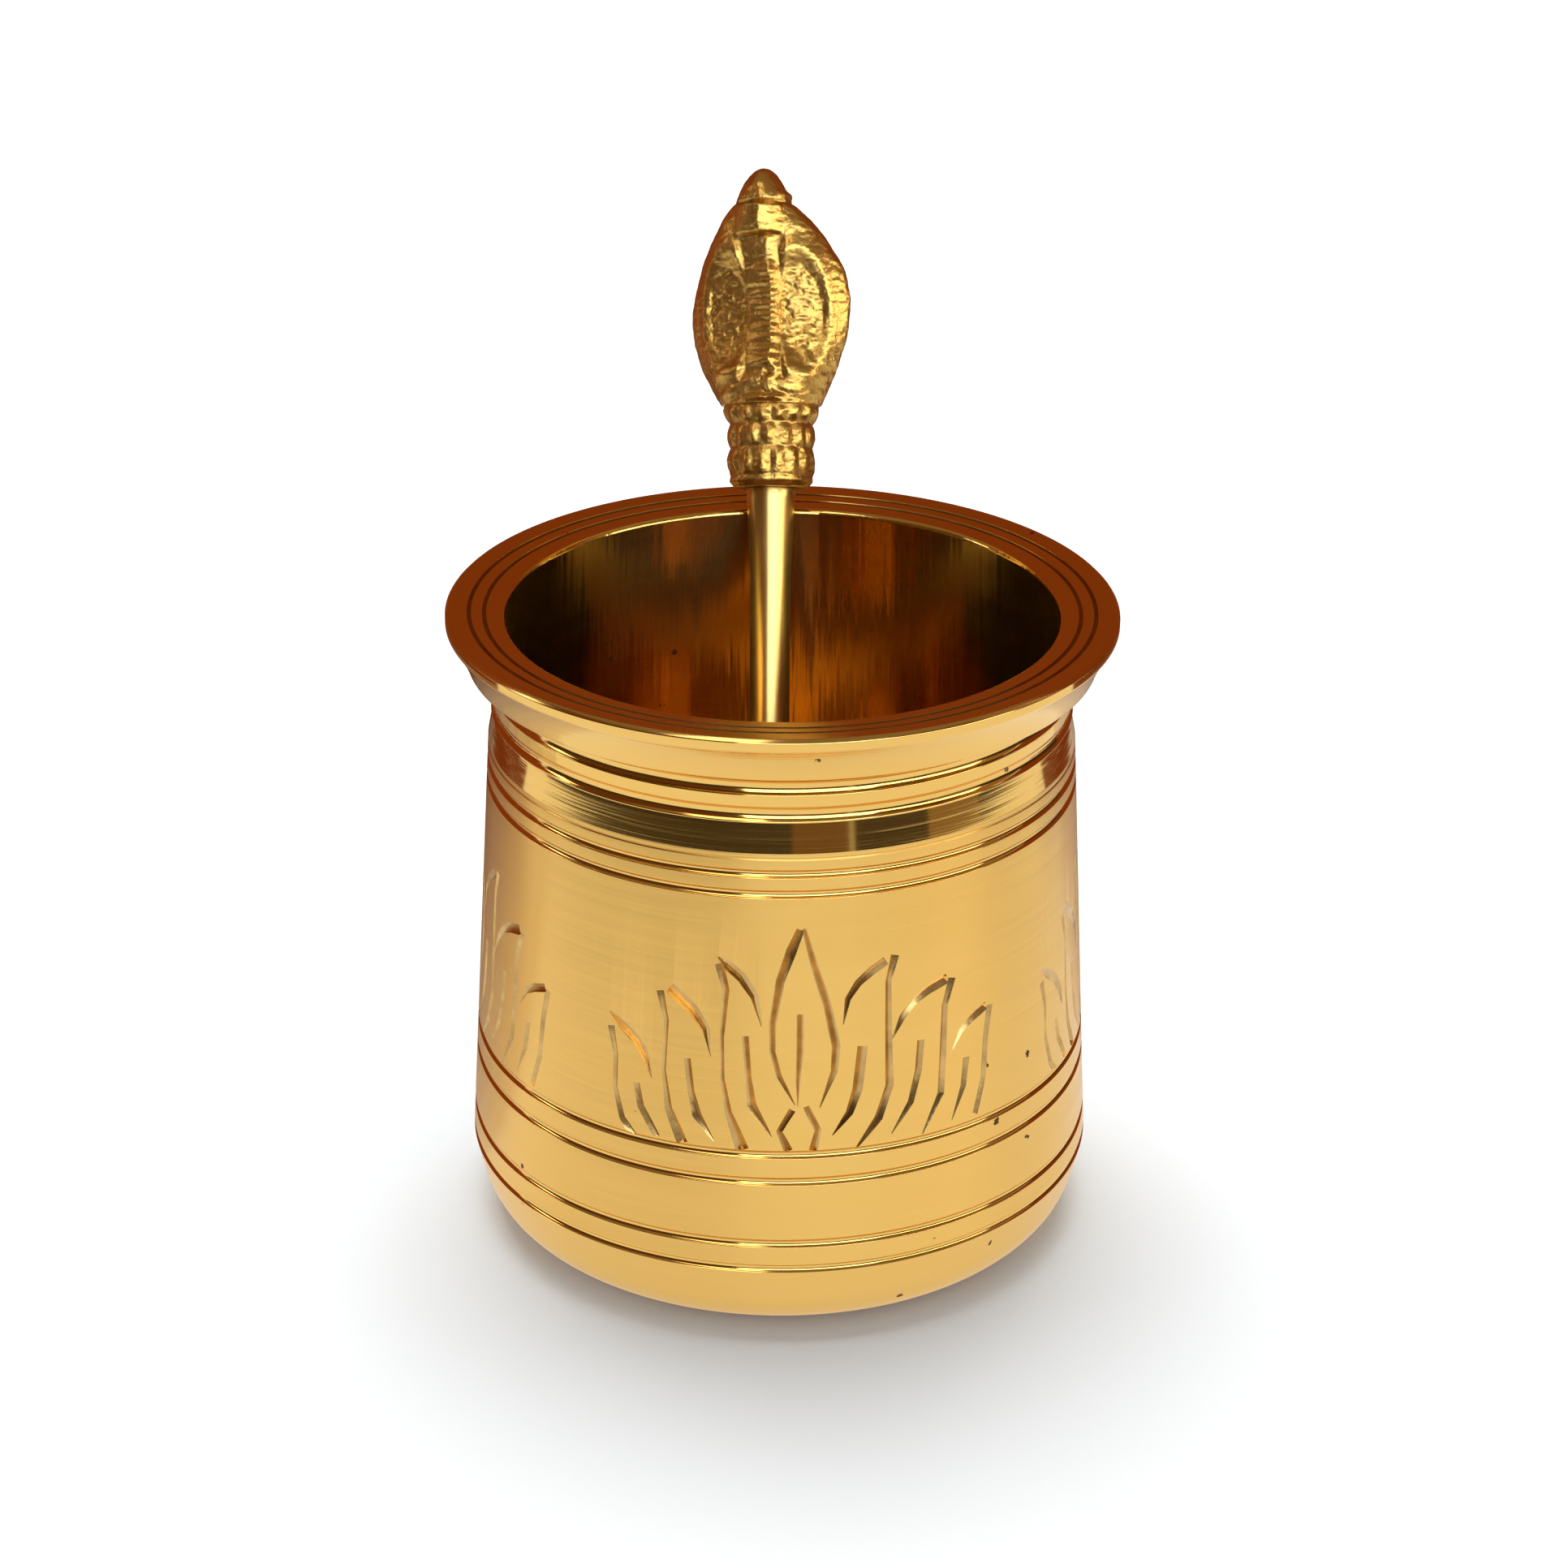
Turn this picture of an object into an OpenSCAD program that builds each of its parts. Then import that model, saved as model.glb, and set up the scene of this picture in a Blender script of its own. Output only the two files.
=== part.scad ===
// Panchpatra: a turned brass water cup for worship, with its spoon leaning in the mouth.
// Millimetres. +Z is up, the cup's axis is Z and its flat base stands on z = 0.
// The front, with the spoon's hollow and the face of its finial, looks towards -Y.

/* [Cup] */
// Overall height of the cup
cup_h = 75; // [66:0.5:84]
// Outer diameter of the flared rim
rim_d = 76; // [73:0.5:82]
// Diameter of the mouth at the inner edge of the rim
mouth_d = 62.4; // [58:0.2:63.2]
// Outer diameter of the wall at its foot, the widest part of the wall
foot_d = 72.6; // [70:0.2:76]
// Outer diameter of the wall at the shoulder
shoulder_d = 67; // [65.8:0.2:69]
// Outer diameter of the turned neck rings under the rim
neck_d = 66.2; // [65.4:0.2:67.4]
// Diameter of the flat that the cup stands on
base_d = 57; // [48:0.5:60]
// Thickness of the wall
wall_t = 2; // [1.6:0.1:2.4]
// Thickness of the floor
floor_t = 3; // [2:0.1:5]
// Radius of the round between the base and the wall
foot_round = 7.1; // [5:0.1:8]
// Radius of the corner inside, between the floor and the wall
inside_round = 6; // [3:0.5:9]

/* [Rim] */
// Height of the rim's outer edge
lip_h = 1.3; // [0.8:0.1:2]
// Height of the flare, from the neck rings to the rim's outer edge
flare_h = 5.6; // [4.5:0.1:7]
// How far the flare bows inwards from a straight cone
flare_bow = 0.2; // [0.1:0.1:0.6]
// Width of the step by which the rim stands out over the neck rings
rim_step_w = 2.6; // [1.8:0.1:2.9]
// Rise of the step's underside
rim_step_h = 1.25; // [0.8:0.05:1.8]
// Fall of the rim's top towards the mouth
rim_dish = 0.7; // [0.2:0.1:1.2]
// Radius of the rim's rounded inner edge
mouth_round = 0.6; // [0.3:0.1:0.9]
// Bevel on the rim's upper outer edge
lip_bevel = 0.4; // [0.2:0.1:0.6]
// Distance of the first turned line on the rim's top from the mouth
rim_line_in = 2.4; // [1.6:0.1:3]
// Distance between the two turned lines on the rim's top
rim_line_gap = 1.7; // [1:0.1:2.2]
// Width of a turned line on the rim's top
rim_line_w = 0.5; // [0.3:0.05:0.7]
// Depth of a turned line on the rim's top
rim_line_t = 0.15; // [0.1:0.05:0.25]

/* [Turned rings] */
// Width of a turned groove in the wall
groove_w = 1; // [0.7:0.05:1.2]
// Depth of a turned groove in the wall
groove_t = 0.35; // [0.2:0.05:0.5]
// Height of the lower foot groove
foot_groove_z = 9.8; // [9:0.1:11]
// Distance between the two foot grooves
foot_groove_gap = 3.1; // [2:0.1:4]
// Height of the lower groove under the lotus band
lotus_groove_z = 20.6; // [18.5:0.1:24]
// Distance between the two grooves under the lotus band
lotus_groove_gap = 3.3; // [2:0.1:4]
// Distance of the lower shoulder groove below the rim
shoulder_groove_drop = 20; // [19.4:0.1:23]
// Distance between the two shoulder grooves
shoulder_groove_gap = 2.35; // [1.5:0.05:2.6]
// Distance of the polished band's lower edge below the rim
band_drop = 15.3; // [14.8:0.1:16]
// Height of the polished band
band_h = 3.4; // [2.8:0.1:3.8]
// Fall inwards of the polished band, from its lower edge to its upper edge
band_fall = 0.65; // [0.3:0.05:0.8]
// Height of each hollow ring in the neck
cove_h = 1.75; // [1.2:0.05:2]
// Depth of each hollow ring in the neck
cove_t = 0.45; // [0.2:0.05:0.6]

/* [Spoon] */
// Lean of the spoon from upright
lean = 25; // [18:1:32]
// Sideways place of the spoon from the cup's axis
spoon_x = -1.5; // [-6:0.5:6]
// Distance of the finial's collar above the place where the shank lies on the rim
collar_reach = 2.6; // [1.5:0.1:8]
// Gap left between the resting spoon and the cup
rest_gap = 0.3; // [0.2:0.05:0.5]
// Diameter of the shank at its waist
shank_d = 4.8; // [4:0.1:5.6]
// Diameter of the shank where it meets the finial
shank_top_d = 6; // [5.2:0.1:7]
// Length over which the shank swells to its ends
shank_swell = 14; // [8:0.5:20]
// Diameter of the tenon at each end of the shank
tenon_d = 3.2; // [2.4:0.1:3.6]
// Length of the tenon at each end of the shank
tenon_len = 5; // [3:0.1:6]
// Clearance round each tenon and at its end, which the braze fills
braze_gap = 0.05; // [0.03:0.01:0.1]

/* [Spoon bowl] */
// Diameter of the spoon's bowl
bowl_d = 26; // [22:0.5:32]
// Depth of the bowl outside
bowl_depth = 7; // [5:0.1:9]
// Thickness of the bowl's wall
bowl_t = 1.2; // [0.9:0.1:1.6]
// Distance of the bowl's brim in front of the shank's axis
brim_forward = 1.2; // [0.6:0.1:2]
// Diameter of the socket boss on the bowl
boss_d = 6.2; // [5.4:0.1:7.4]
// Length of the socket boss beyond the bowl's brim
boss_len = 6; // [5:0.1:8]

/* [Naga finial] */
// Diameter of the finial's collar
collar_d = 10.6; // [9.6:0.1:12]
// Height of the collar
collar_h = 9.7; // [8.6:0.1:11]
// Depth of the hollow necks between the collar's bands
collar_neck = 0.3; // [0.2:0.05:0.5]
// Height of the hood, from the collar to the head
hood_h = 23.8; // [20:0.2:30]
// Width of the spread hood
hood_w = 18.7; // [15:0.1:22]
// Height of the hood's widest part above the collar
hood_peak = 11.4; // [8:0.1:15]
// Reach of the hood in front of the shank's axis
hood_front = 3.5; // [2.8:0.1:4.5]
// Reach of the hood behind the shank's axis
hood_back = 2.8; // [2:0.1:4]
// Width of the raised border round the hood's hollows
border_w = 1.7; // [1.2:0.1:2.2]
// Depth of the hollows beside the belly ridge
hollow_t = 0.55; // [0.2:0.05:0.8]
// Width of the belly ridge
ridge_w = 3.8; // [2.8:0.1:4.6]
// Rise of the belly ridge and of the throat above the hood
ridge_t = 0.5; // [0.2:0.05:0.9]
// Width of the throat under the head
throat_w = 5.2; // [4:0.1:6]
// Height of the throat under the head
throat_h = 3.8; // [2.5:0.1:5]
// Width of the head
head_w = 6.8; // [5:0.1:8]
// Height of the head
head_h = 4.3; // [3:0.1:6]
// Distance of the head in front of the shank's axis
head_forward = 2.4; // [0:0.1:4]
// Turn of the finial on the shank, as it was set
finial_turn = -14; // [-20:1:20]
// Number of cast beads round each band of the collar
bead_count = 16; // [10:1:20]
// Width of a cast bead on the collar
bead_w = 1.6; // [1:0.1:1.8]
// Rise of a cast bead from the collar
bead_rise = 0.3; // [0.15:0.05:0.45]

/* [Hidden] */
$fn = 96;
brass = "#d8ac58";
cast_brass = "#b98a34";

// A tiny overlap where two forms of one piece run into each other
sink = 0.5;

// Cup radii and heights
rim_r = rim_d/2;
mouth_r = mouth_d/2;
foot_r = foot_d/2;
neck_r = neck_d/2;
base_r = base_d/2;
lip_z = cup_h - lip_h;
neck_z = lip_z - flare_h;
// The foot's round leaves the base flat and runs on, straight, to the lower foot groove.
foot_rise = foot_groove_z + groove_w/2;
shoulder_z = cup_h - band_drop;
shoulder_r = shoulder_d/2;
band_top_z = shoulder_z + band_h;
mouth_z = cup_h - rim_dish;

// Radius of the tapered wall at a height
function wall_r(z) =
    foot_r + (shoulder_r - foot_r)*(z - foot_rise)/(shoulder_z - foot_rise);

// Radius of the circle that cuts a hollow of width w and depth t
function hollow_r(w, t) = (w*w/4 + t*t)/(2*t);

// The foot's round, no larger than the wall leaves room for beside the base
foot_dx = foot_r - base_r;
foot_fillet = min(foot_round, foot_dx);
foot_dz = foot_rise - foot_fillet;
foot_far = norm([foot_dx, foot_dz]);
// Angle at which the straight part of the foot touches the foot's round
foot_angle = atan2(foot_dz, foot_dx) - acos(foot_fillet/foot_far);
foot_normal = [cos(foot_angle), sin(foot_angle)];

// Arc of n steps about a centre, from one angle to another
function arc(centre, r, a0, a1, n) =
    [for (i = [0:n]) centre + r*[cos(a0 + (a1 - a0)*i/n), sin(a0 + (a1 - a0)*i/n)]];

// Flare: an almost straight cone from the step over the neck rings to the rim's outer edge
step_w = min(rim_step_w, 0.6*(rim_r - neck_r));
step_h = min(rim_step_h, 0.4*flare_h);
flare_from = [neck_r + step_w, neck_z + step_h];
flare_to = [rim_r, lip_z];
flare_run = flare_to - flare_from;
flare_side = [flare_run[1], -flare_run[0]]/norm(flare_run);
function flare(n) =
    [for (t = [0:1/n:1]) flare_from + flare_run*t - flare_side*flare_bow*4*t*(1 - t)];

// Place of the spoon: the shank lies on the rim's inner edge and the bowl's brim on the floor.
// Its own frame has z along the shank from the tip of the bowl, and -y towards the front.
along = [sin(lean), cos(lean)];
off_rim = [-cos(lean), sin(lean)];
edge_centre = [mouth_r + mouth_round, mouth_z - mouth_round];
function rest_point(r) = edge_centre + off_rim*(mouth_round + r + rest_gap);
tip_z = floor_t + rest_gap - brim_forward*sin(lean);
function reach(r) = (rest_point(r)[1] - tip_z)/cos(lean);

boss_top = bowl_d + boss_len;
// Radius of the shank below the collar, where it swells
function swell(d) = d >= shank_swell ? 0 : pow(1 - d/shank_swell, 2);
rest_r = shank_d/2 + (shank_top_d - shank_d)/2*swell(collar_reach);
collar_z = reach(rest_r) + collar_reach;
shank_len = collar_z - boss_top;
tip_y = (rest_point(rest_r) - along*reach(rest_r))[0];

module in_spoon_frame() {
    translate([spoon_x, tip_y, tip_z]) rotate([-lean, 0, 0]) children();
}

// A hollow turned into a wall of radius r, centred at height z
module ring_cut(r, z, w, t) {
    translate([r - t + hollow_r(w, t), z]) circle(hollow_r(w, t));
}

// A fine line turned into the rim's sloping top at radius r
function rim_top_z(r) =
    mouth_z + rim_dish*(r - edge_centre[0])/(rim_r - lip_bevel - edge_centre[0]);
module rim_cut(r) {
    translate([r, rim_top_z(r) - rim_line_t + hollow_r(rim_line_w, rim_line_t)])
        circle(hollow_r(rim_line_w, rim_line_t));
}

// Half section of the solid cup, before the grooves
module cup_outline() {
    polygon(concat(
        [[0, 0]],
        arc([base_r, foot_fillet], foot_fillet, -90, foot_angle, 12),
        [[foot_r, foot_rise], [shoulder_r, shoulder_z], [shoulder_r - band_fall, band_top_z]],
        [[neck_r, band_top_z], [neck_r, neck_z]],
        flare(10),
        [[rim_r, cup_h - lip_bevel], [rim_r - lip_bevel, cup_h]],
        [edge_centre + [0, mouth_round], [0, mouth_z]]
    ));
}

// The corner inside keeps the wall's thickness, both to the wall and to the straight part of the foot.
corner_z = floor_t + inside_round;
foot_offset = foot_normal*[foot_r, foot_rise] - foot_normal[1]*corner_z;
corner_by_foot = (foot_offset - wall_t - inside_round)/foot_normal[0];
corner_by_wall = wall_r(corner_z) - wall_t - inside_round;
corner_x = min(corner_by_foot, corner_by_wall);

// Half section of the hollow inside
module cup_hollow() {
    polygon(concat(
        [[0, floor_t]],
        arc([corner_x, corner_z], inside_round, -90, 0, 10),
        arc(edge_centre, mouth_round, 180, 90, 6),
        [[mouth_r + mouth_round, cup_h + sink], [0, cup_h + sink]]
    ));
}

module cup() {
    foot_grooves = [foot_groove_z, foot_groove_z + foot_groove_gap];
    lotus_grooves = [lotus_groove_z, lotus_groove_z + lotus_groove_gap];
    shoulder_groove_z = cup_h - shoulder_groove_drop;
    shoulder_grooves = [shoulder_groove_z, shoulder_groove_z + shoulder_groove_gap];
    cove_z = [band_top_z + groove_t/2 + cove_h/2, neck_z - cove_h/2];
    rim_lines = [mouth_r + rim_line_in, mouth_r + rim_line_in + rim_line_gap];
    color(brass) rotate_extrude() difference() {
        cup_outline();
        cup_hollow();
        for (z = concat(foot_grooves, lotus_grooves, shoulder_grooves))
            ring_cut(wall_r(z), z, groove_w, groove_t);
        for (z = cove_z) ring_cut(neck_r, z, cove_h, cove_t);
        for (r = rim_lines) rim_cut(r);
    }
}

module spoon_shank() {
    steps = 12;
    low = boss_top;
    high = collar_z;
    function side(i) = low + shank_len*i/steps;
    function rod_r(z) = shank_d/2 + (shank_top_d - shank_d)/2*swell(high - z)
        + (boss_d - shank_d)/2*swell(z - low);
    color(brass) in_spoon_frame() rotate_extrude() polygon(concat(
        [[0, low - tenon_len], [tenon_d/2, low - tenon_len], [tenon_d/2, low]],
        [for (i = [0:steps]) [rod_r(side(i)), side(i)]],
        [[tenon_d/2, high], [tenon_d/2, high + tenon_len], [0, high + tenon_len]]
    ));
}

module spoon_bowl() {
    outer_r = (bowl_d*bowl_d/4 + bowl_depth*bowl_depth)/(2*bowl_depth);
    inner_r = outer_r - bowl_t;
    centre = [0, bowl_depth - outer_r - brim_forward, bowl_d/2];
    color(brass) in_spoon_frame() difference() {
        union() {
            intersection() {
                translate(centre) sphere(outer_r);
                translate([-bowl_d, -brim_forward, -bowl_d]) cube([2*bowl_d, bowl_d, 3*bowl_d]);
            }
            translate([0, 0, bowl_d - boss_d/2]) cylinder(d = boss_d, h = boss_len + boss_d/2);
        }
        translate(centre) sphere(inner_r);
        translate([0, 0, boss_top - tenon_len - braze_gap])
            cylinder(d = tenon_d + 2*braze_gap, h = tenon_len + 2*braze_gap);
    }
}

// Naga finial: a turned collar, and a loft for the spread hood, the throat and the head.
hood_z = collar_z + collar_h;
hood_root_w = collar_d;
head_z = hood_z + hood_h;
finial_top = head_z + head_h;

function ease(t) = let (c = max(0, min(1, t))) c*c*(3 - 2*c);
function blend(a, b, t) = a + (b - a)*t;

// Half width of the hood and head at a height above the collar
function hood_half(h) =
    h < hood_peak ? blend(hood_root_w/2, hood_w/2, sin(90*max(0, h)/hood_peak))
    : h < hood_h ? blend(head_w/2, hood_w/2, pow(cos(90*(h - hood_peak)/(hood_h - hood_peak)), 0.8))
    : head_w/2*sqrt(max(0, 1 - (h - hood_h)/head_h));

// Distance of the loft's middle in front of the shank's axis, as the hood bends to the head
function hood_bend(h) = head_forward*pow(max(0, min(1, h/hood_h)), 2);

// Reach in front of or behind the loft's middle at a height above the collar
function hood_reach(h, spread) =
    h < hood_peak ? blend(hood_root_w/2, spread, ease(h/hood_peak))
    : h < hood_h ? blend(spread, head_w/2, ease((h - hood_peak)/(hood_h - hood_peak)))
    : hood_half(h);

// Rise of the front at x across and h above the collar: ridge, throat, border and hollows
function hood_relief(x, h) =
    let (
        half = hood_half(h),
        ridge_low = hood_peak/3,
        throat_low = hood_h - throat_h,
        on_ridge = ease(ridge_w/2 + 0.4 - abs(x))*ease((h - ridge_low)/2)*ease((throat_low + 1 - h)/2),
        on_throat = ease(2*(throat_w/2 + 0.3 - abs(x)))*ease(2*(h - throat_low))*ease(2*(hood_h - h)),
        in_border = ease((half - border_w - abs(x))/0.8),
        in_hollow = in_border*ease((h - ridge_low)/2.5)*ease((throat_low - h)/2)
            *ease((abs(x) - ridge_w/2)/0.6)
    )
    ridge_t*on_ridge + ridge_t*on_throat - hollow_t*in_hollow;

// One ring of the loft: a lens at the spread hood, and round at its root and its head
sides = 52;
function hood_ring(h) =
    let (
        half = hood_half(h),
        flat = ease(h/hood_peak)*ease((hood_h - h)/(hood_h - hood_peak)),
        power = blend(1, 1.25, flat)
    )
    [for (i = [0:sides - 1])
        let (
            a = 360*i/sides,
            x = half*sign(cos(a))*pow(abs(cos(a)), power),
            s = sign(sin(a))*pow(abs(sin(a)), power),
            y = s < 0 ? s*hood_reach(h, hood_front) + sin(a)*hood_relief(x, h) : s*hood_reach(h, hood_back)
        )
        [x, y - hood_bend(h), hood_z + h]];

module hood() {
    low = -sink;
    rings = 40;
    head_rings = 6;
    heights = concat(
        [for (i = [0:rings]) blend(low, hood_h, i/rings)],
        [for (i = [1:head_rings - 1]) hood_h + head_h*sin(90*i/head_rings)]
    );
    last = len(heights) - 1;
    points = concat(
        [for (h = heights) each hood_ring(h)],
        [[0, 0, hood_z + low], [0, -head_forward, finial_top]]
    );
    foot_pole = len(points) - 2;
    top_pole = len(points) - 1;
    function at(ring, i) = ring*sides + i%sides;
    faces = concat(
        [for (r = [0:last - 1]) for (i = [0:sides - 1]) each [
            [at(r, i), at(r + 1, i), at(r + 1, i + 1)],
            [at(r, i), at(r + 1, i + 1), at(r, i + 1)]]],
        [for (i = [0:sides - 1]) each [
            [foot_pole, at(0, i), at(0, i + 1)],
            [top_pole, at(last, i + 1), at(last, i)]]]
    );
    polyhedron(points, faces);
}

// A long bead with round ends, standing on the collar's band
module bead(low, high) {
    r = bead_w/2;
    translate([0, 0, low + r]) cylinder(r = r, h = high - low - 2*r);
    for (z = [low + r, high - r]) translate([0, 0, z]) sphere(r);
}

module collar() {
    bands = 3;
    band = collar_h/bands;
    core_r = collar_d/2 - bead_rise;
    rotate_extrude() difference() {
        translate([0, collar_z]) square([core_r, collar_h]);
        for (i = [1:bands - 1]) ring_cut(core_r, collar_z + band*i, 2*collar_neck, collar_neck);
    }
    for (b = [0:bands - 1]) for (i = [0:bead_count - 1])
        rotate(360*(i + b/2)/bead_count) translate([collar_d/2 - bead_w/2, 0, 0])
            bead(collar_z + band*b + collar_neck, collar_z + band*(b + 1) - collar_neck);
}

module naga_finial() {
    color(cast_brass) in_spoon_frame() rotate(finial_turn) difference() {
        union() {
            collar();
            hood();
        }
        translate([0, 0, collar_z - braze_gap])
            cylinder(d = tenon_d + 2*braze_gap, h = tenon_len + 2*braze_gap);
    }
}

cup();
spoon_shank();
spoon_bowl();
naga_finial();
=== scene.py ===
# %% [markdown]
# # A brass panchpatra
# A panchpatra is the water cup of a household shrine, with a small spoon that leans in its mouth.
# The cup is cast and then turned all over on a lathe. The lotus on its wall is cut with a chisel.
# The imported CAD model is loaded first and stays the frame: every piece below is made where it says.

# %% Load the frame
import math

import bpy
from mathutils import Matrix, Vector, noise


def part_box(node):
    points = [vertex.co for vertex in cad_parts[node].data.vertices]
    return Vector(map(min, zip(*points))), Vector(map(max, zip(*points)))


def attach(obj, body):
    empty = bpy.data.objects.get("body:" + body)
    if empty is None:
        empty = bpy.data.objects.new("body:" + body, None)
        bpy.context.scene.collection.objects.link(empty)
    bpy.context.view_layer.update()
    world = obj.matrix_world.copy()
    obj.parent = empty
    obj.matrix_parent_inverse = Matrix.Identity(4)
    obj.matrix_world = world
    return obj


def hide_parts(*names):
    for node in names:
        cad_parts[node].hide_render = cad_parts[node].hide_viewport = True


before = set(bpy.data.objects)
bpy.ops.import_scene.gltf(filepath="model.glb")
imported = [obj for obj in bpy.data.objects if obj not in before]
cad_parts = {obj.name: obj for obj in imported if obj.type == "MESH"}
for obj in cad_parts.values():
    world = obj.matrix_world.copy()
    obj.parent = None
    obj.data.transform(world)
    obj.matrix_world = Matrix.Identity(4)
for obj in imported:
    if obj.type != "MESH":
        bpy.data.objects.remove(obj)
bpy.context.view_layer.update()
MM = 0.001

# %% [markdown]
# ## Working by hand, in code
# Blender's operators act on whatever is selected, and loading the frame leaves its nodes selected.
# Small helpers let go of everything, take up one piece, settle it, or clear the marks on its mesh.

# %% Take up and let go
def let_go():
    """Leaves edit mode and deselects everything, the CAD nodes too."""
    if bpy.context.mode != "OBJECT":
        bpy.ops.object.mode_set(mode="OBJECT")
    bpy.ops.object.select_all(action="DESELECT")


def take_up(piece):
    """Makes one piece the active and only selected object."""
    let_go()
    piece.select_set(True)
    bpy.context.view_layer.objects.active = piece


def apply_modifier(piece, kind, **settings):
    """Adds a modifier with its settings and applies it to the mesh."""
    take_up(piece)
    modifier = piece.modifiers.new(kind.lower(), kind)
    for key, value in settings.items():
        setattr(modifier, key, value)
    bpy.ops.object.modifier_apply(modifier=modifier.name)


def settle():
    """Writes the active piece's place and turn into its mesh."""
    bpy.ops.object.transform_apply(location=True, rotation=True, scale=True)


def unmark(kind):
    """Deselects the whole active mesh, so that code can mark its vertices, edges or faces."""
    bpy.ops.object.mode_set(mode="EDIT")
    bpy.ops.mesh.select_all(action="DESELECT")
    bpy.ops.mesh.select_mode(type=kind)
    bpy.ops.object.mode_set(mode="OBJECT")


let_go()
print("objects selected:", len(bpy.context.selected_objects))

# %% [markdown]
# ## The camera
# The view was fitted to the circles of the rim, the grooves and the base: a 90 mm lens about 45 cm away,
# 25 degrees above the table and rolled by less than half a degree.

# %% Set up the camera
VIEW_TARGET = Vector((0.0003, 0.0, 0.05245))
VIEW_PLACE = Vector((0.0003, -0.4096, 0.2422))
VIEW_ROLL = math.radians(0.42)

lens = bpy.data.cameras.new("view")
lens.lens = 90
lens.sensor_width = 36
lens.clip_start = 0.01
camera = bpy.data.objects.new("view", lens)
bpy.context.scene.collection.objects.link(camera)
camera.location = VIEW_PLACE
aim = (VIEW_TARGET - VIEW_PLACE).to_track_quat("-Z", "Y").to_matrix()
camera.rotation_euler = (aim @ aim.Rotation(VIEW_ROLL, 3, "Z")).to_euler()
bpy.context.scene.camera = camera
bpy.context.scene.view_settings.view_transform = "Standard"
print("camera at", [round(value, 3) for value in camera.location])

# %% [markdown]
# ## Shader maths as sums
# A material is a graph of nodes, and long graphs are hard to read as calls.
# A wire stands for one output of a node: adding or multiplying wires adds the Math node that does it.
# Any other node comes from one method, which sets the node's settings first and then fills its sockets.

# %% Wires
class Wire:
    """One output of a node. Sums, differences and products of wires add their own Math nodes."""

    def __init__(self, socket):
        self.socket = socket

    def node(self, kind, settings, sockets, output=0):
        """Adds a node of any kind beside this one and gives one of its outputs."""
        tree = self.socket.id_data
        made = tree.nodes.new(kind)
        for key, value in settings.items():
            setattr(made, key, value)
        for key, value in sockets.items():
            if isinstance(value, Wire):
                tree.links.new(value.socket, made.inputs[key])
            else:
                made.inputs[key].default_value = value
        return Wire(made.outputs[output]) if made.outputs else None

    def math(self, operation, first, second):
        """Adds a Math node for two wires or numbers."""
        return self.node("ShaderNodeMath", {"operation": operation}, {0: first, 1: second})

    def __add__(self, other):
        return self.math("ADD", self, other)

    def __radd__(self, other):
        return self.math("ADD", other, self)

    def __sub__(self, other):
        return self.math("SUBTRACT", self, other)

    def __rsub__(self, other):
        return self.math("SUBTRACT", other, self)

    def __mul__(self, other):
        return self.math("MULTIPLY", self, other)

    def __rmul__(self, other):
        return self.math("MULTIPLY", other, self)


def start_graph(owner, kind, output):
    """Empties the node tree of a material or a world and gives the first wire in it."""
    owner.use_nodes = True
    owner.node_tree.nodes.clear()
    return Wire(owner.node_tree.nodes.new(kind).outputs[output])


def before_floor(light_path):
    """1 until a ray has met a matt surface, so that the metal throws no glow on the floor."""
    return light_path.math("LESS_THAN", Wire(light_path.socket.node.outputs["Diffuse Depth"]), 0.5)


def seen_directly(light_path):
    """1 for the camera and for what metal or glass mirrors, 0 for the light that falls on things."""
    rays = ("Is Camera Ray", "Is Glossy Ray", "Is Transmission Ray")
    outputs = light_path.socket.node.outputs
    camera_ray, glossy_ray, clear_ray = (Wire(outputs[ray]) for ray in rays)
    seen = light_path.math("MINIMUM", camera_ray + glossy_ray + clear_ray, 1.0)
    return seen * before_floor(light_path)


print("wires ready")

# %% [markdown]
# ## A plain table in soft light
# Polished metal has little colour of its own: it shows the room. So the room comes before the brass.
# The floor is pale and the sky is white, which is what the camera and the metal see.
# A ray that has met the floor finds a dimmer sky and unlit cards, so the brass throws no glow on the floor
# and the shadow stays grey.

# %% Sky and floor
SKY_FILL = 0.42
FLOOR_SIZE = 8
FLOOR_LIFT = 0.10
FLOOR_IN_METAL = 1.0
EVEN_SHARE = 0.8
WHITE = (1, 1, 1, 1)
PALE = (0.93, 0.93, 0.925, 1)

world = bpy.data.worlds.new("studio")
bpy.context.scene.world = world
path = start_graph(world, "ShaderNodeLightPath", "Is Camera Ray")
sky_level = SKY_FILL + (1 - SKY_FILL) * seen_directly(path)
sky = path.node("ShaderNodeBackground", {}, {"Color": WHITE, "Strength": sky_level})
path.node("ShaderNodeOutputWorld", {}, {"Surface": sky})

let_go()
bpy.ops.mesh.primitive_plane_add(size=FLOOR_SIZE)
floor = bpy.context.object
floor.name = "floor"
floor_paint = bpy.data.materials.new("floor_paint")
path = start_graph(floor_paint, "ShaderNodeLightPath", "Is Camera Ray")
chalk = path.node("ShaderNodeBsdfDiffuse", {}, {"Color": PALE})
lift_level = FLOOR_LIFT * seen_directly(path)
lift = path.node("ShaderNodeEmission", {}, {"Color": WHITE, "Strength": lift_level})
open_floor = path.node("ShaderNodeAddShader", {}, {0: chalk, 1: lift})
even_floor = path.node("ShaderNodeEmission", {}, {"Color": PALE, "Strength": FLOOR_IN_METAL})
in_metal = Wire(path.socket.node.outputs["Is Glossy Ray"]) * before_floor(path)
paint = path.node("ShaderNodeMixShader", {}, {0: in_metal * EVEN_SHARE, 1: open_floor, 2: even_floor})
path.node("ShaderNodeOutputMaterial", {}, {"Surface": paint})
floor.data.materials.append(floor_paint)
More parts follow.
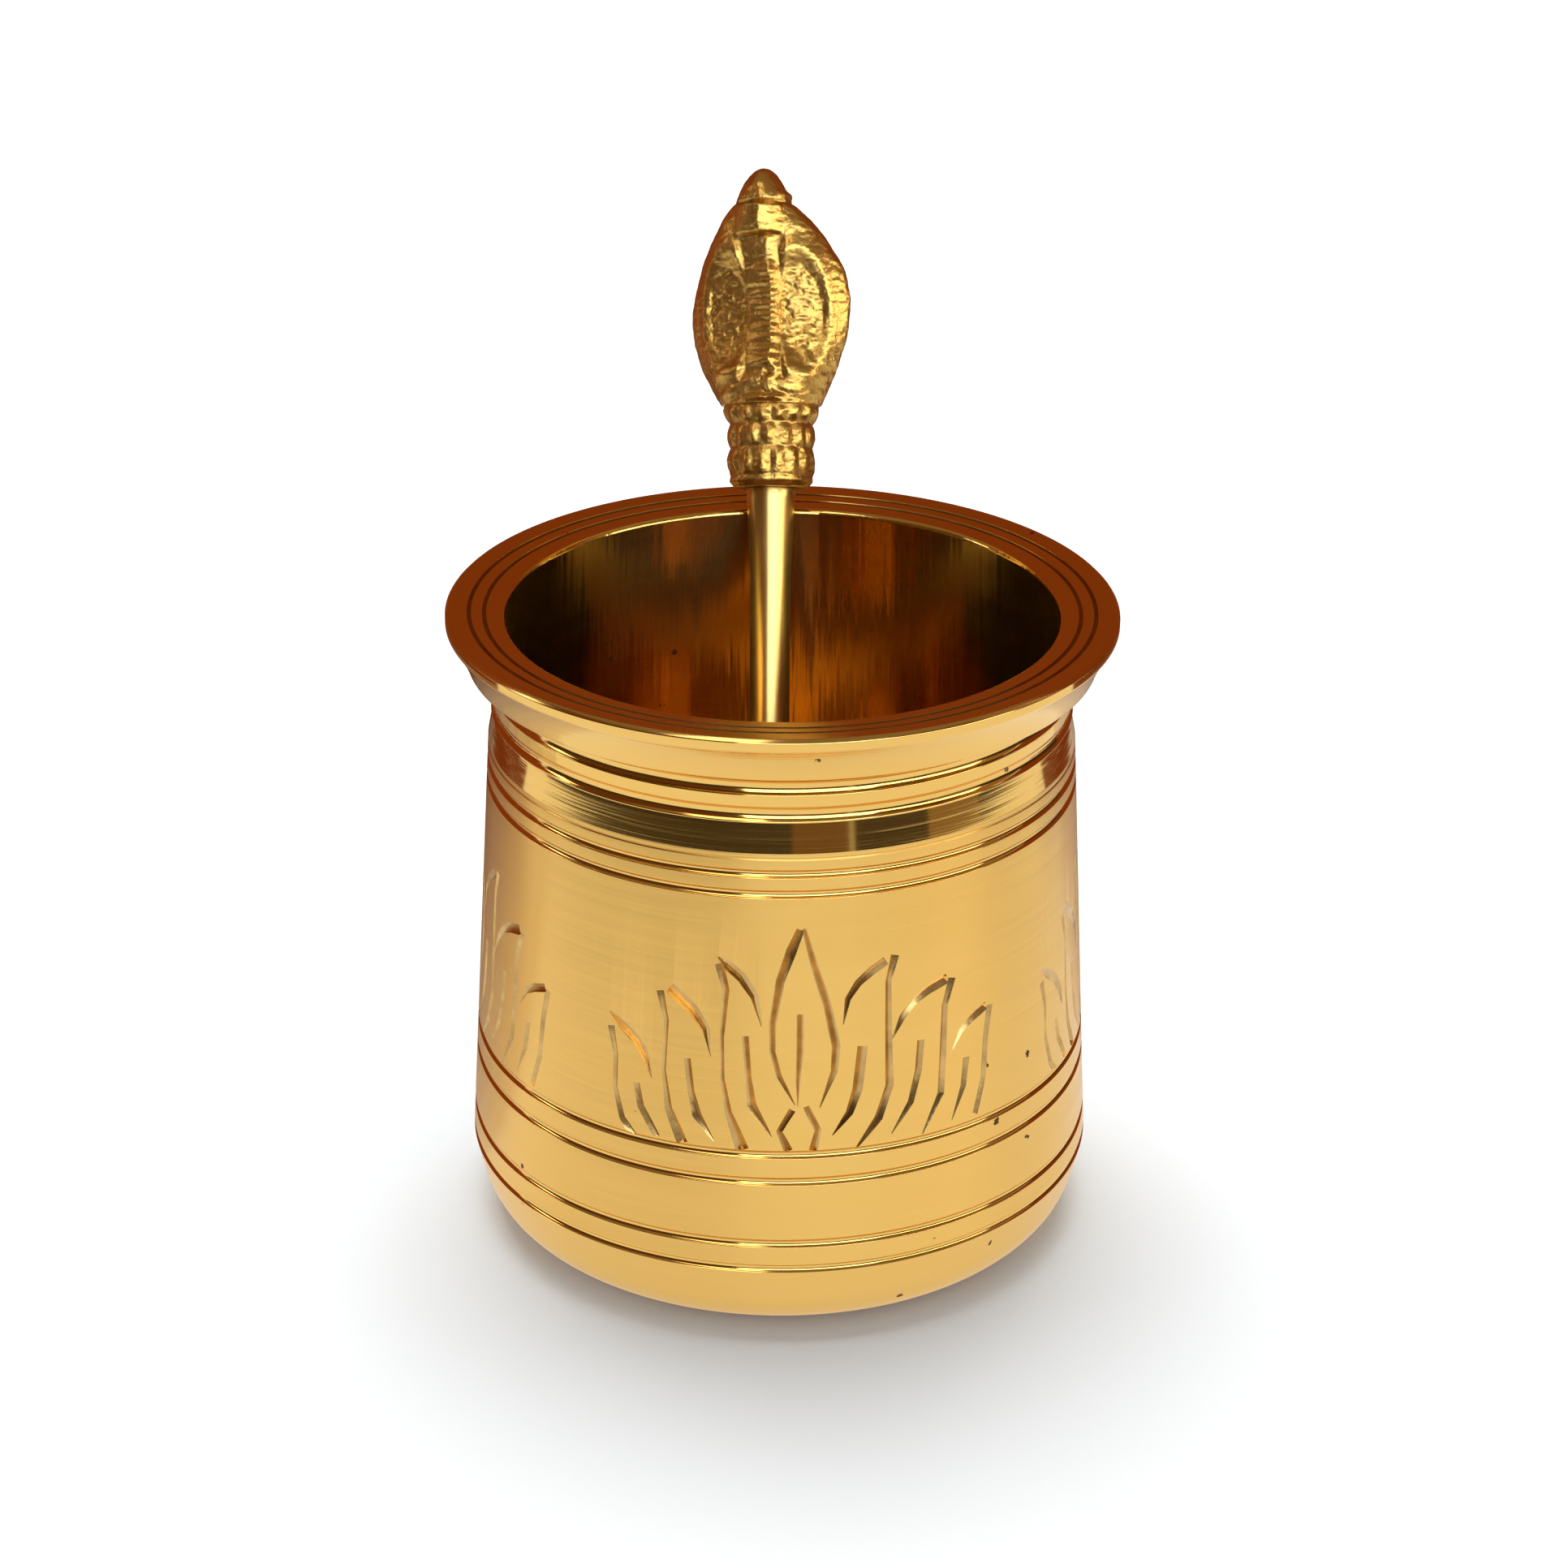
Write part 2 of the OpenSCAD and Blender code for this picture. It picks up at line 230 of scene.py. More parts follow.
print("floor", floor.dimensions[:2])

# %% [markdown]
# One large soft lamp from above lights the floor and gives the shadow under the cup.
# The metal doesn't show it.

# %% Lamp
LAMP_PLACE = Vector((-0.05, 0.35, 1.2))
LAMP_SIZE = 1.0
LAMP_WATTS = 15.5
LAMP_COLOUR = (0.93, 0.97, 1.0)

lamp = bpy.data.lights.new("softbox", "AREA")
lamp.size = LAMP_SIZE
lamp.energy = LAMP_WATTS
lamp.color = LAMP_COLOUR
softbox = bpy.data.objects.new("softbox", lamp)
bpy.context.scene.collection.objects.link(softbox)
softbox.location = LAMP_PLACE
softbox.rotation_euler = (-LAMP_PLACE).to_track_quat("-Z", "Y").to_euler()
softbox.visible_glossy = False
print("lamp", lamp.energy, "W")

# %% [markdown]
# ## Cards round the table
# A photographer of metal stands dark cards and bright panels round the table, just out of sight,
# so that a rounded shape gets dark and light bands. Here each one is a strip of a cone round the cup.
# The cards show in the metal only: the camera and the floor don't see them.

# %% Make a card
CARD_SIDES = 180


def paint_card(card, colour, strength):
    """Gives a card its own glow, and hides it from the camera and the floor."""
    paper = bpy.data.materials.new(card.name)
    path = start_graph(paper, "ShaderNodeLightPath", "Is Camera Ray")
    level = strength * before_floor(path)
    glow = path.node("ShaderNodeEmission", {}, {"Color": colour, "Strength": level})
    path.node("ShaderNodeOutputMaterial", {}, {"Surface": glow})
    card.data.materials.append(paper)
    card.visible_camera = False
    card.visible_diffuse = False
    card.visible_shadow = False
    print("card", card.name, "has", len(card.data.polygons), "faces")


def stand_card(name, bearings, heights, distances, colour, strength=1.0):
    """A strip of a cone round the cup. Bearings are in degrees from the front, to the right.
    Heights and distances are those of its foot and its top, in metres."""
    let_go()
    bpy.ops.mesh.primitive_cone_add(
        vertices=CARD_SIDES, radius1=distances[0], radius2=distances[1], depth=heights[1] - heights[0],
        end_fill_type="NOTHING", location=(0, 0, (heights[0] + heights[1]) / 2))
    card = bpy.context.object
    card.name = name
    unmark("FACE")
    for face in card.data.polygons:
        bearing = math.degrees(math.atan2(face.center.x, -face.center.y))
        face.select = (bearing - bearings[0]) % 360 > bearings[1] - bearings[0]
    bpy.ops.object.mode_set(mode="EDIT")
    bpy.ops.mesh.delete(type="FACE")
    bpy.ops.mesh.select_mode(type="VERT")
    bpy.ops.object.mode_set(mode="OBJECT")
    settle()
    paint_card(card, colour, strength)


print("sides of a whole round:", CARD_SIDES)

# %% [markdown]
# Dark cards stand low and high, with bright panels and windows between them, under a dark ceiling.
# Rugs and strips of linen lie on the floor and shade what looks down on them.

# %% Stand the cards
SOOT = (0.05, 0.038, 0.027, 1)
UMBER = (0.15, 0.085, 0.04, 1)
TAN = (0.24, 0.16, 0.085, 1)
RUST = (0.22, 0.05, 0.008, 1)
CLAY = (0.12, 0.045, 0.012, 1)
WARM_WHITE = (1.0, 0.93, 0.80, 1)
COOL_WHITE = (0.82, 0.92, 1.0, 1)
CEILING_BROWN = (0.24, 0.17, 0.10, 1)
ON_FLOOR, ON_RUGS = (0.0005, 0.001), (0.001, 0.002)

stand_card("low_card", (-96, 126), (0.0, 0.13), (0.36, 0.36), SOOT)
stand_card("low_umber_card", (4, 24), (0.0, 0.13), (0.355, 0.355), UMBER)
stand_card("low_strip", (24, 26), (0.0, 0.13), (0.355, 0.355), WARM_WHITE, 0.4)
stand_card("low_tan_card", (54, 76), (0.0, 0.13), (0.355, 0.355), TAN)
stand_card("front_card", (-100, 80), (0.13, 0.85), (0.71, 0.71), CLAY)
stand_card("right_card", (80, 100), (0.13, 0.85), (0.70, 0.70), UMBER, 2.0)
stand_card("back_card", (100, 260), (0.0, 0.45), (0.40, 0.40), RUST)
stand_card("front_panel", (-14, 37), (0.15, 0.62), (0.70, 0.70), COOL_WHITE, 3.8)
stand_card("right_window", (37, 80), (0.14, 0.40), (0.70, 0.70), WARM_WHITE, 4.2)
stand_card("left_window", (-116, -92), (0.30, 0.55), (0.70, 0.70), WARM_WHITE, 3.4)
stand_card("skylight", (-48, -8), (0.80, 0.84), (0.62, 0.20), WARM_WHITE, 2.6)
for step in range(4):
    reach = (0.23 + 0.05 * step, 0.18 + 0.05 * step)
    stand_card(f"right_rug_{step}", (107 + 6 * step, 172), ON_FLOOR, reach, RUST, 0.8)
    stand_card(f"left_rug_{step}", (-172, -103 - 6 * step), ON_FLOOR, reach, RUST, 0.8)
for step in range(8):
    linen = (0.78 - 0.09 * step, 0.72 - 0.095 * step, 0.64 - 0.09 * step, 1)
    stand_card(f"right_linen_{step}", (124 + 6 * step, 130 + 6 * step), ON_RUGS, (0.18, 0.037), linen)
    stand_card(f"left_linen_{step}", (-98 - 9 * step, -89 - 9 * step), ON_RUGS, (0.18, 0.037), linen)

let_go()
bpy.ops.mesh.primitive_circle_add(vertices=64, radius=0.9, fill_type="NGON", location=(0, 0, 0.85))
ceiling = bpy.context.object
ceiling.name = "ceiling"
settle()
paint_card(ceiling, CEILING_BROWN, 1.0)

# %% [markdown]
# ## Brass finishes
# All the brass is one metal, and only its surface differs. The wall is left satin from the cutting tool,
# the rings and the rim are polished, and the finial is cast and has gone dark in its hollows.

# %% Graphs that all the brass shares
def cloudy(place, grains, detail):
    """Plain noise, with so many grains to one unit of the place."""
    return place.node("ShaderNodeTexNoise", {}, {"Vector": place, "Scale": grains, "Detail": detail})


def mixed(share, first, second):
    """The first colour where the share is 0, the second where it is 1."""
    return share.node("ShaderNodeMix", {"data_type": "RGBA"}, {0: share, 6: first, 7: second}, 2)


def bare_brass(place, tint, roughness, height, depth, strength=1.0, stretch=0.0):
    """Ends a graph with bare metal and a relief so many mm deep. Stretch draws out its highlights."""
    relief = place.node("ShaderNodeBump", {}, {
        "Strength": strength, "Distance": depth * MM, "Height": height})
    sockets = {"Base Color": tint, "Metallic": 1.0, "Roughness": roughness, "Normal": relief}
    if stretch:
        sockets.update({"Anisotropic": stretch, "Anisotropic Rotation": 0.25})
    shader = place.node("ShaderNodeBsdfPrincipled", {}, sockets)
    place.node("ShaderNodeOutputMaterial", {}, {"Surface": shader})


print("brass graphs ready")

# %% [markdown]
# A lathe leaves fine circles, so their noise is long round the axis and fine across the cut.
# Radius plus height is the distance across the cut on walls and flats alike, so one pattern serves both.

# %% Turned brass
PIT_BROWN = (0.16, 0.08, 0.025, 1)
PIT_CELLS, PIT_SHARE, PIT_SIZE = 200.0, 0.62, 0.075
PIT_WOBBLE = (0.0012, 0.0012, 0.0012)
CHATTER_GRAINS = (420, 420, 14)


def turned_noise(place, length, pitch, detail):
    """Noise in circles about the Z axis, as a cutting tool leaves them. Sizes in mm."""
    flat = place.node("ShaderNodeVectorMath", {"operation": "MULTIPLY"}, {0: place, 1: (1, 1, 0)})
    radius = flat.node("ShaderNodeVectorMath", {"operation": "LENGTH"}, {0: flat}, "Value")
    parts = place.node("ShaderNodeSeparateXYZ", {}, {0: place}).socket.node.outputs
    across, deep, height = (Wire(part) for part in parts)
    along = 1 / (length * MM)
    cut = place.node("ShaderNodeCombineXYZ", {}, {
        0: across * along, 1: deep * along, 2: (radius + height) * (1 / (pitch * MM))})
    return cloudy(cut, 1.0, detail)


def pits(place):
    """1 in the few small pits that the casting left, 0 elsewhere."""
    wobble = place.node("ShaderNodeTexNoise", {}, {"Vector": place, "Scale": 1500.0}, "Color")
    moved = place.node("ShaderNodeVectorMath", {"operation": "MULTIPLY_ADD"}, {
        0: wobble, 1: PIT_WOBBLE, 2: place})
    cell = place.node("ShaderNodeTexVoronoi", {}, {"Vector": moved, "Scale": PIT_CELLS})
    cells = cell.socket.node.outputs
    few = place.math("GREATER_THAN", Wire(cells["Color"]), PIT_SHARE)
    return few * place.math("LESS_THAN", Wire(cells["Distance"]), PIT_SIZE)


def turned_brass(name, light, dark, rough, rough_play, line_depth, pitch, stretch, chatter=0):
    """Brass with circles left by the tool. Stretch draws its highlights out across the cut.
    Chatter adds upright marks, which a long tool leaves where it reaches deep."""
    finish = bpy.data.materials.new(name)
    place = start_graph(finish, "ShaderNodeTexCoord", "Object")
    fine = turned_noise(place, 30, pitch, 2)
    broad = turned_noise(place, 60, pitch * 5, 3)
    worn = broad * 0.6 + cloudy(place, 70.0, 4.0) * 0.4
    pit = pits(place)
    tint = mixed(pit, mixed(worn, dark, light), PIT_BROWN)
    roughness = rough + rough_play * (worn - 0.5) + rough_play * (fine - 0.5) + 0.2 * pit
    marks = fine * 0.5 + broad * 0.5
    if chatter:
        upright = place.node("ShaderNodeVectorMath", {"operation": "MULTIPLY"}, {
            0: place, 1: CHATTER_GRAINS})
        marks += chatter * cloudy(upright, 1.0, 3.0)
    bare_brass(place, tint, roughness, marks, line_depth, stretch=stretch)
    return finish


satin_wall = turned_brass(
    "satin_wall", (0.96, 0.60, 0.175, 1), (0.88, 0.53, 0.13, 1), 0.30, 0.10, 0.02, 0.4, 0.85)
polished_rings = turned_brass(
    "polished_rings", (0.92, 0.58, 0.17, 1), (0.86, 0.525, 0.135, 1), 0.10, 0.05, 0.04, 0.45, 0.4)
rim_top = turned_brass(
    "rim_top", (0.87, 0.58, 0.20, 1), (0.79, 0.50, 0.15, 1), 0.17, 0.05, 0.002, 0.35, 0.6)
turned_inside = turned_brass(
    "turned_inside", (0.88, 0.62, 0.20, 1), (0.78, 0.52, 0.14, 1), 0.15, 0.05, 0.006, 0.4, 0.9, 12)
print("finishes:", satin_wall.name, polished_rings.name, rim_top.name, turned_inside.name)

# %% [markdown]
# A chisel leaves small bright facets with a faint ripple, and a little tarnish stays in the cut.

# %% Chiselled brass
def chiselled_brass(name, dark, light):
    """Brass with a faint ripple, its tint varied at random from one colour to the other."""
    finish = bpy.data.materials.new(name)
    place = start_graph(finish, "ShaderNodeTexCoord", "Object")
    ripple = cloudy(place, 900.0, 2.0)
    stain_and_shade = cloudy(place, 350.0, 3.0)
    bare_brass(place, mixed(stain_and_shade, dark, light), 0.16 + 0.14 * stain_and_shade, ripple, 0.02)
    return finish


chisel_cut = chiselled_brass("chisel_cut", (0.30, 0.16, 0.05, 1), (0.95, 0.63, 0.24, 1))
# The rim's two lines take the same graph with dark tints, which paint shade into the lines.
painted_shade_line = chiselled_brass("painted_shade_line", (0.12, 0.06, 0.02, 1), (0.40, 0.23, 0.08, 1))
print("finishes:", chisel_cut.name, painted_shade_line.name)

# %% [markdown]
# ## The cup on the lathe
# A turner works to a profile, and so does this step. One vertex is extruded from point to point along
# half of the cup's section: up the outside with its grooves, over the rim, and down the inside.
# The sharp corners are eased by a bevel while the profile is still a line, and a spin makes it a cup.

# %% Profile tools
TINY = 0.001


def arc(centre, radius, start, end, steps):
    """Points of an arc, angles in degrees."""
    angles = [math.radians(start + (end - start) * step / steps) for step in range(steps + 1)]
    across, up = centre
    return [(across + radius * math.cos(angle), up + radius * math.sin(angle)) for angle in angles]


def hollow(width, depth, slope, steps):
    """A round groove in a wall that leans by slope: pairs of distance out from the wall and along it."""
    bend = (width**2 / 4 + depth**2) / (2 * depth)
    back = bend - depth
    root = math.sqrt((slope * back)**2 + (1 + slope**2) * (bend**2 - back**2))
    ends = [(slope * back + sign * root) / (1 + slope**2) for sign in (-1, 1)]
    first, last = (math.atan2(end, back - slope * end) for end in ends)
    angles = [first + (last - first) * step / steps for step in range(steps + 1)]
    return [(back - bend * math.cos(angle), bend * math.sin(angle)) for angle in angles]


def draw_profile(name, points):
    """Extrudes one vertex from point to point. Points are radius and height in mm."""
    let_go()
    bpy.ops.mesh.primitive_plane_add(size=MM)
    piece = bpy.context.object
    piece.name = name
    piece.data.name = name
    bpy.ops.object.mode_set(mode="EDIT")
    bpy.ops.mesh.merge(type="CENTER")
    here = Vector((0, 0, 0))
    for count, (radius, height) in enumerate(points):
        there = Vector((radius, 0, height)) * MM
        if count:
            bpy.ops.mesh.extrude_region_move(TRANSFORM_OT_translate={"value": there - here})
        else:
            bpy.ops.transform.translate(value=there - here)
        here = there
    bpy.ops.object.mode_set(mode="OBJECT")
    return piece


def ease_corners(piece, reach, turn):
    """Bevels the corners of a drawn profile that turn by more than so many degrees."""
    take_up(piece)
    chain = [vertex.co.copy() for vertex in piece.data.vertices]
    unmark("VERT")
    for index in range(1, len(chain) - 1):
        before = chain[index] - chain[index - 1]
        after = chain[index + 1] - chain[index]
        piece.data.vertices[index].select = math.degrees(before.angle(after)) > turn
    bpy.ops.object.mode_set(mode="EDIT")
    bpy.ops.mesh.bevel(offset=reach * MM, segments=2, affect="VERTICES")
    bpy.ops.object.mode_set(mode="OBJECT")


def close_skin():
    """Merges the doubled vertices of the mesh in edit mode and turns its faces outwards."""
    bpy.ops.mesh.select_all(action="SELECT")
    bpy.ops.mesh.remove_doubles(threshold=TINY * MM)
    bpy.ops.mesh.normals_make_consistent(inside=False)
    bpy.ops.object.mode_set(mode="OBJECT")


def spin_profile(piece, steps):
    """Turns a drawn profile once round the Z axis into a closed skin with its faces outwards."""
    take_up(piece)
    bpy.ops.object.mode_set(mode="EDIT")
    bpy.ops.mesh.select_all(action="SELECT")
    bpy.ops.mesh.spin(steps=steps, angle=math.tau, center=(0, 0, 0), axis=(0, 0, 1))
    close_skin()


print("profile tools ready")

# %% [markdown]
# The outside starts at the flat base. A round foot runs into the tapered wall, which has three pairs
# of grooves. A hairline is scribed over the upper pair.
# Above the shoulder come the polished band, two hollow rings, a step and the flare of the rim.

# %% Outside of the cup
cup_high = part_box("cup")[1]
RIM_R = cup_high.x / MM
CUP_H = cup_high.z / MM
FLAT_R = 14
BASE_R, FOOT_R, FOOT_Z, FOOT_ROUND = 28.5, 36.3, 10.3, 7.1
SHOULDER_R, SHOULDER_Z = 33.5, 59.7
BAND_R, BAND_Z = 32.85, 63.1
NECK_R, NECK_Z = 33.1, 68.1
STEP_W, STEP_H, FLARE_BOW = 2.6, 1.25, 0.2
LIP_Z = CUP_H - 1.3
GROOVES = (9.8, 12.9, 20.6, 23.9, 55.0, 57.35)
GROOVE_W, GROOVE_T, GROOVE_STEPS = 1.0, 0.35, 10
SCRIBE_Z, SCRIBE_W, SCRIBE_T = 59.1, 0.3, 0.09
COVES = (64.15, 67.225)
COVE_H, COVE_T = 1.75, 0.45
TAPER = (SHOULDER_R - FOOT_R) / (SHOULDER_Z - FOOT_Z)


def wall_r(height):
    """Radius of the tapered wall."""
    return FOOT_R + TAPER * (height - FOOT_Z)


def foot_angle():
    """Angle, in degrees, at which the straight part of the foot leaves its round."""
    out, up = FOOT_R - BASE_R, FOOT_Z - FOOT_ROUND
    return math.degrees(math.atan2(up, out) - math.acos(FOOT_ROUND / math.hypot(out, up)))


def flare(steps):
    """The rim's flare, from the step over the rings to the lip. It bows inwards a little."""
    low_r, low_z = NECK_R + STEP_W, NECK_Z + STEP_H
    run, rise = RIM_R - low_r, LIP_Z - low_z
    length = math.hypot(run, rise)
    shares = [step / steps for step in range(steps + 1)]
    return [(low_r + run * t - rise / length * FLARE_BOW * 4 * t * (1 - t),
             low_z + rise * t + run / length * FLARE_BOW * 4 * t * (1 - t)) for t in shares]


outside = [(0, 0), (FLAT_R, 0)]
outside += arc((BASE_R, FOOT_ROUND), FOOT_ROUND, -90, foot_angle(), 18)
groove = hollow(GROOVE_W, GROOVE_T, TAPER, GROOVE_STEPS)
scribe = hollow(SCRIBE_W, SCRIBE_T, TAPER, 4)
cove = hollow(COVE_H, COVE_T, 0, 12)
groove_cuts = [(wall_r(z) + out, z + along) for z in GROOVES for out, along in groove]
scribed = [(wall_r(SCRIBE_Z) + out, SCRIBE_Z + along) for out, along in scribe]
outside += groove_cuts[:len(groove)] + [(FOOT_R, FOOT_Z)] + groove_cuts[len(groove):]
outside += scribed + [(SHOULDER_R, SHOULDER_Z), (BAND_R, BAND_Z), (NECK_R, BAND_Z)]
outside += [(NECK_R + out, z + along) for z in COVES for out, along in cove]
outside += flare(10)
print("outside:", len(outside), "points, up to", round(outside[-1][1], 2), "mm")

# %% [markdown]
# The rim's top falls a little towards the mouth and carries two fine turned lines.
# The inside is plain: a rounded edge, a wall, a rounded corner and the floor.

# %% Rim and inside of the cup
EDGE = (31.8, CUP_H - 1.3)
EDGE_ROUND = 0.6
CORNER = (27.93, 9.0)
CORNER_ROUND = 6.0
FLOOR_Z = 3.0
BEVEL = 0.4
RIM_LINES = (35.3, 33.6)
LINE_W, LINE_T = 0.5, 0.15
RIM_DISH = 0.7
CUP_STEPS = 384

rim_fall = RIM_DISH / (RIM_R - BEVEL - EDGE[0])
rim_line = hollow(LINE_W, LINE_T, rim_fall, 6)
top = [(RIM_R, CUP_H - BEVEL), (RIM_R - BEVEL, CUP_H)]
for line_r in RIM_LINES:
    line_z = CUP_H - rim_fall * (RIM_R - BEVEL - line_r)
    top += [(line_r + along, line_z + out) for out, along in reversed(rim_line)]
inside = arc(EDGE, EDGE_ROUND, 90, 180, 8)
inside += arc(CORNER, CORNER_ROUND, 0, -90, 16)
inside += [(FLAT_R, FLOOR_Z), (0, FLOOR_Z)]

cup = draw_profile("turned_cup", outside + top + inside)
ease_corners(cup, 0.07, 24)
spin_profile(cup, CUP_STEPS)
print("turned_cup:", len(cup.data.polygons), "faces,", [round(side / MM, 2) for side in cup.dimensions])

# %% [markdown]
# ## The lotus, cut with a chisel
# Four lotuses stand on the upper groove of the middle pair. Each is about two dozen strokes of a chisel,
# drawn here as (across, up, width) in mm from the middle of the flower's foot.
# A petal is three strokes: its outer edge, the broad crest that falls from its tip, and a vein.

# %% Strokes of the flower
HEART = [
    [(0, 26.5, 0.9), (-1, 24, 1.2), (-2.2, 20.5, 1.0), (-3, 15.5, 0.8), (-3, 12, 0.7),
     (-2.2, 9, 0.6), (-0.5, 5.6, 0.1)],
    [(0.4, 26.6, 0.5), (1.5, 22.5, 0.8), (3, 17.5, 0.9), (4, 12.5, 1.0), (3.8, 9.5, 0.8), (2.2, 5.2, 0.1)],
    [(0, 16.5, 0.8), (0, 12, 0.8), (-0.2, 8.5, 0.5), (-0.2, 5.4, 0.1)],
    [(-0.8, 5, 0.8), (-2.2, 2.4, 0.7), (-1.2, 0, 1.0)],
    [(0.7, 5.4, 0.7), (2, 2.5, 0.8), (1.5, 0, 1.0)],
]
LEFT_PETALS = [
    [(-9, 22.2, 1.0), (-8.2, 19.2, 0.8), (-8.6, 13.5, 0.5), (-8.5, 8.5, 0.5), (-7.8, 4.5, 0.8),
     (-6.2, 0, 1.5)],
    [(-9.1, 23, 0.3), (-7.8, 21.9, 1.2), (-6.4, 20.7, 1.2), (-5, 18.5, 0.9), (-4.2, 15, 0.1)],
    [(-6, 13.8, 0.8), (-5.6, 8.8, 0.7), (-5.2, 5.4, 1.1), (-3, 1.7, 0.1)],
    [(-15.8, 18, 0.9), (-15, 14.5, 0.6), (-15.2, 8.5, 0.5), (-14.6, 4, 0.9), (-12.9, 0, 1.3)],
    [(-14.7, 18.5, 1.5), (-13.3, 17.5, 1.4), (-11.9, 16.3, 1.4), (-10.4, 14.3, 0.9), (-9.8, 11, 0.1)],
    [(-12.5, 10.4, 0.8), (-12, 6.5, 0.8), (-11.3, 3.7, 1.1), (-9.3, 0.7, 0.1)],
    [(-21.9, 12.3, 0.9), (-21.2, 9, 0.6), (-21.2, 5, 0.6), (-20.2, 1.5, 0.8), (-18.8, -0.3, 1.0)],
    [(-22.1, 14, 0.2), (-20.6, 12.9, 1.1), (-18.5, 11.3, 1.2), (-17.2, 9.4, 1.0), (-16.6, 7.2, 0.1)],
    [(-18.5, 6.2, 0.8), (-17.9, 3.5, 0.9), (-15.9, 0.2, 0.8)],
]
RIGHT_PETALS = [
    [(10.8, 22.5, 1.0), (10, 19.5, 0.7), (10, 13.5, 0.8), (10.1, 7, 1.0), (8.8, 3.2, 1.0),
     (6.2, -0.2, 0.2)],
    [(9.7, 22, 1.1), (8, 21, 1.1), (6.5, 19.8, 0.9), (5.3, 18, 0.7), (4.8, 15, 0.1)],
    [(7, 12.2, 1.2), (6.4, 7, 1.2), (5.5, 4.3, 0.9), (3.6, 1.7, 0.1)],
    [(18, 18.2, 1.0), (17, 15.1, 0.8), (16.7, 9.3, 0.9), (16.4, 4.6, 0.9), (14, 0.1, 0.2)],
    [(17.4, 18.3, 1.2), (15, 17.6, 1.2), (13.2, 16.6, 0.9), (11.7, 15, 0.8), (10.3, 12.3, 0.1)],
    [(13.9, 11.7, 0.9), (13.6, 8.2, 0.9), (12.6, 4.4, 0.8), (10.3, 1, 0.1)],
    [(23.4, 13.3, 0.9), (22.7, 9.5, 0.8), (22.3, 4.8, 0.8), (21, 0.5, 0.8)],
    [(22.9, 13.4, 1.0), (20.8, 12.6, 1.0), (19.2, 11.5, 0.7), (18, 9.5, 0.1)],
    [(19.9, 8, 0.9), (19.4, 4.6, 0.8), (17.8, 0.8, 0.1)],
]
print("strokes in one flower:", len(HEART) + len(LEFT_PETALS) + len(RIGHT_PETALS))

# %% [markdown]
# A stroke becomes a bar with a V-shaped section, bent to the wall, and a Boolean takes it out of the cup.
# The chisel leans over in the crests on the left, so the foot of their V lies off to one side.
# Strokes that meet would confuse the Boolean in one tool, so neighbours go to two tools in turn.

# %% Cut the four flowers
FLOWER_FOOT_Z = 24.4
FLOWER_TURN = 3.7
FLOWER_R = 35.0
CUT_SLOPE = 0.42
CREST_TILT = -0.7
ABOVE = 0.3


def on_wall(turn, height):
    """A point on the wall in mm and the way out of the wall.
    Turn is in radians from the front, to the right."""
    radius = wall_r(height)
    round_way = Vector((math.sin(turn), -math.cos(turn), 0))
    out_way = (round_way - Vector((0, 0, TAPER))).normalized()
    return round_way * radius + Vector((0, 0, height)), out_way


def chisel_bar(stroke, middle, tilt):
    """Corners and faces of one stroke: a bar with a V-shaped section that follows the wall.
    Tilt sets the foot of the V off to one side, as a share of its half width."""
    spine = [on_wall(middle + across / FLOWER_R, FLOWER_FOOT_Z + up) for across, up, width in stroke]
    corners = []
    for index, (point, out_way) in enumerate(spine):
        ahead = spine[min(index + 1, len(spine) - 1)][0] - spine[max(index - 1, 0)][0]
        side = out_way.cross(ahead).normalized()
        half = stroke[index][2] / 2
        depth = stroke[index][2] * CUT_SLOPE
        for edge in (-half, half):
            above = edge + (edge - tilt * half) * ABOVE / depth
            corners.append(point + out_way * ABOVE + side * above)
        corners.append(point - out_way * depth + side * tilt * half)
    last = len(corners) - 3
    faces = [(0, 1, 2), (last + 1, last, last + 2)]
    for start in range(0, last, 3):
        for a, b in ((1, 0), (2, 1), (0, 2)):
            faces.append((start + a, start + b, start + b + 3, start + a + 3))
    return corners, faces


def chisel_tool(name, strokes):
    """One mesh of all the bars, four flowers round the cup."""
    corners, faces = [], []
    for quarter in range(4):
        middle = math.radians(FLOWER_TURN + 90 * quarter)
        for stroke in strokes:
            tilt = CREST_TILT if stroke in LEFT_PETALS[1::3] else 0
            bar, sides = chisel_bar(stroke, middle, tilt)
            faces += [[len(corners) + index for index in side] for side in sides]
            corners += [corner * MM for corner in bar]
    mesh = bpy.data.meshes.new(name)
    mesh.from_pydata(corners, [], faces)
    mesh.materials.append(chisel_cut)
    tool = bpy.data.objects.new(name, mesh)
    bpy.context.scene.collection.objects.link(tool)
    take_up(tool)
    bpy.ops.object.mode_set(mode="EDIT")
    bpy.ops.mesh.select_all(action="SELECT")
    bpy.ops.mesh.normals_make_consistent(inside=False)
    bpy.ops.object.mode_set(mode="OBJECT")
    return tool


def cut_with(piece, tool):
    """Takes the tool's shape out of the piece and puts the tool away."""
    apply_modifier(
        piece, "BOOLEAN", operation="DIFFERENCE", solver="EXACT", object=tool, material_mode="TRANSFER")
    bpy.data.objects.remove(tool)


for finish in (satin_wall, polished_rings, rim_top, turned_inside, painted_shade_line):
    cup.data.materials.append(finish)
crests = LEFT_PETALS[1::3] + RIGHT_PETALS[1::3]
first_cuts = [HEART[0], HEART[2], HEART[4]] + LEFT_PETALS[0::3] + RIGHT_PETALS[0::3]
second_cuts = [HEART[1], HEART[3]] + LEFT_PETALS[2::3] + RIGHT_PETALS[2::3] + crests
cut_with(cup, chisel_tool("first_cuts", first_cuts))
cut_with(cup, chisel_tool("second_cuts", second_cuts))
print("turned_cup after the chisel:", len(cup.data.polygons), "faces")
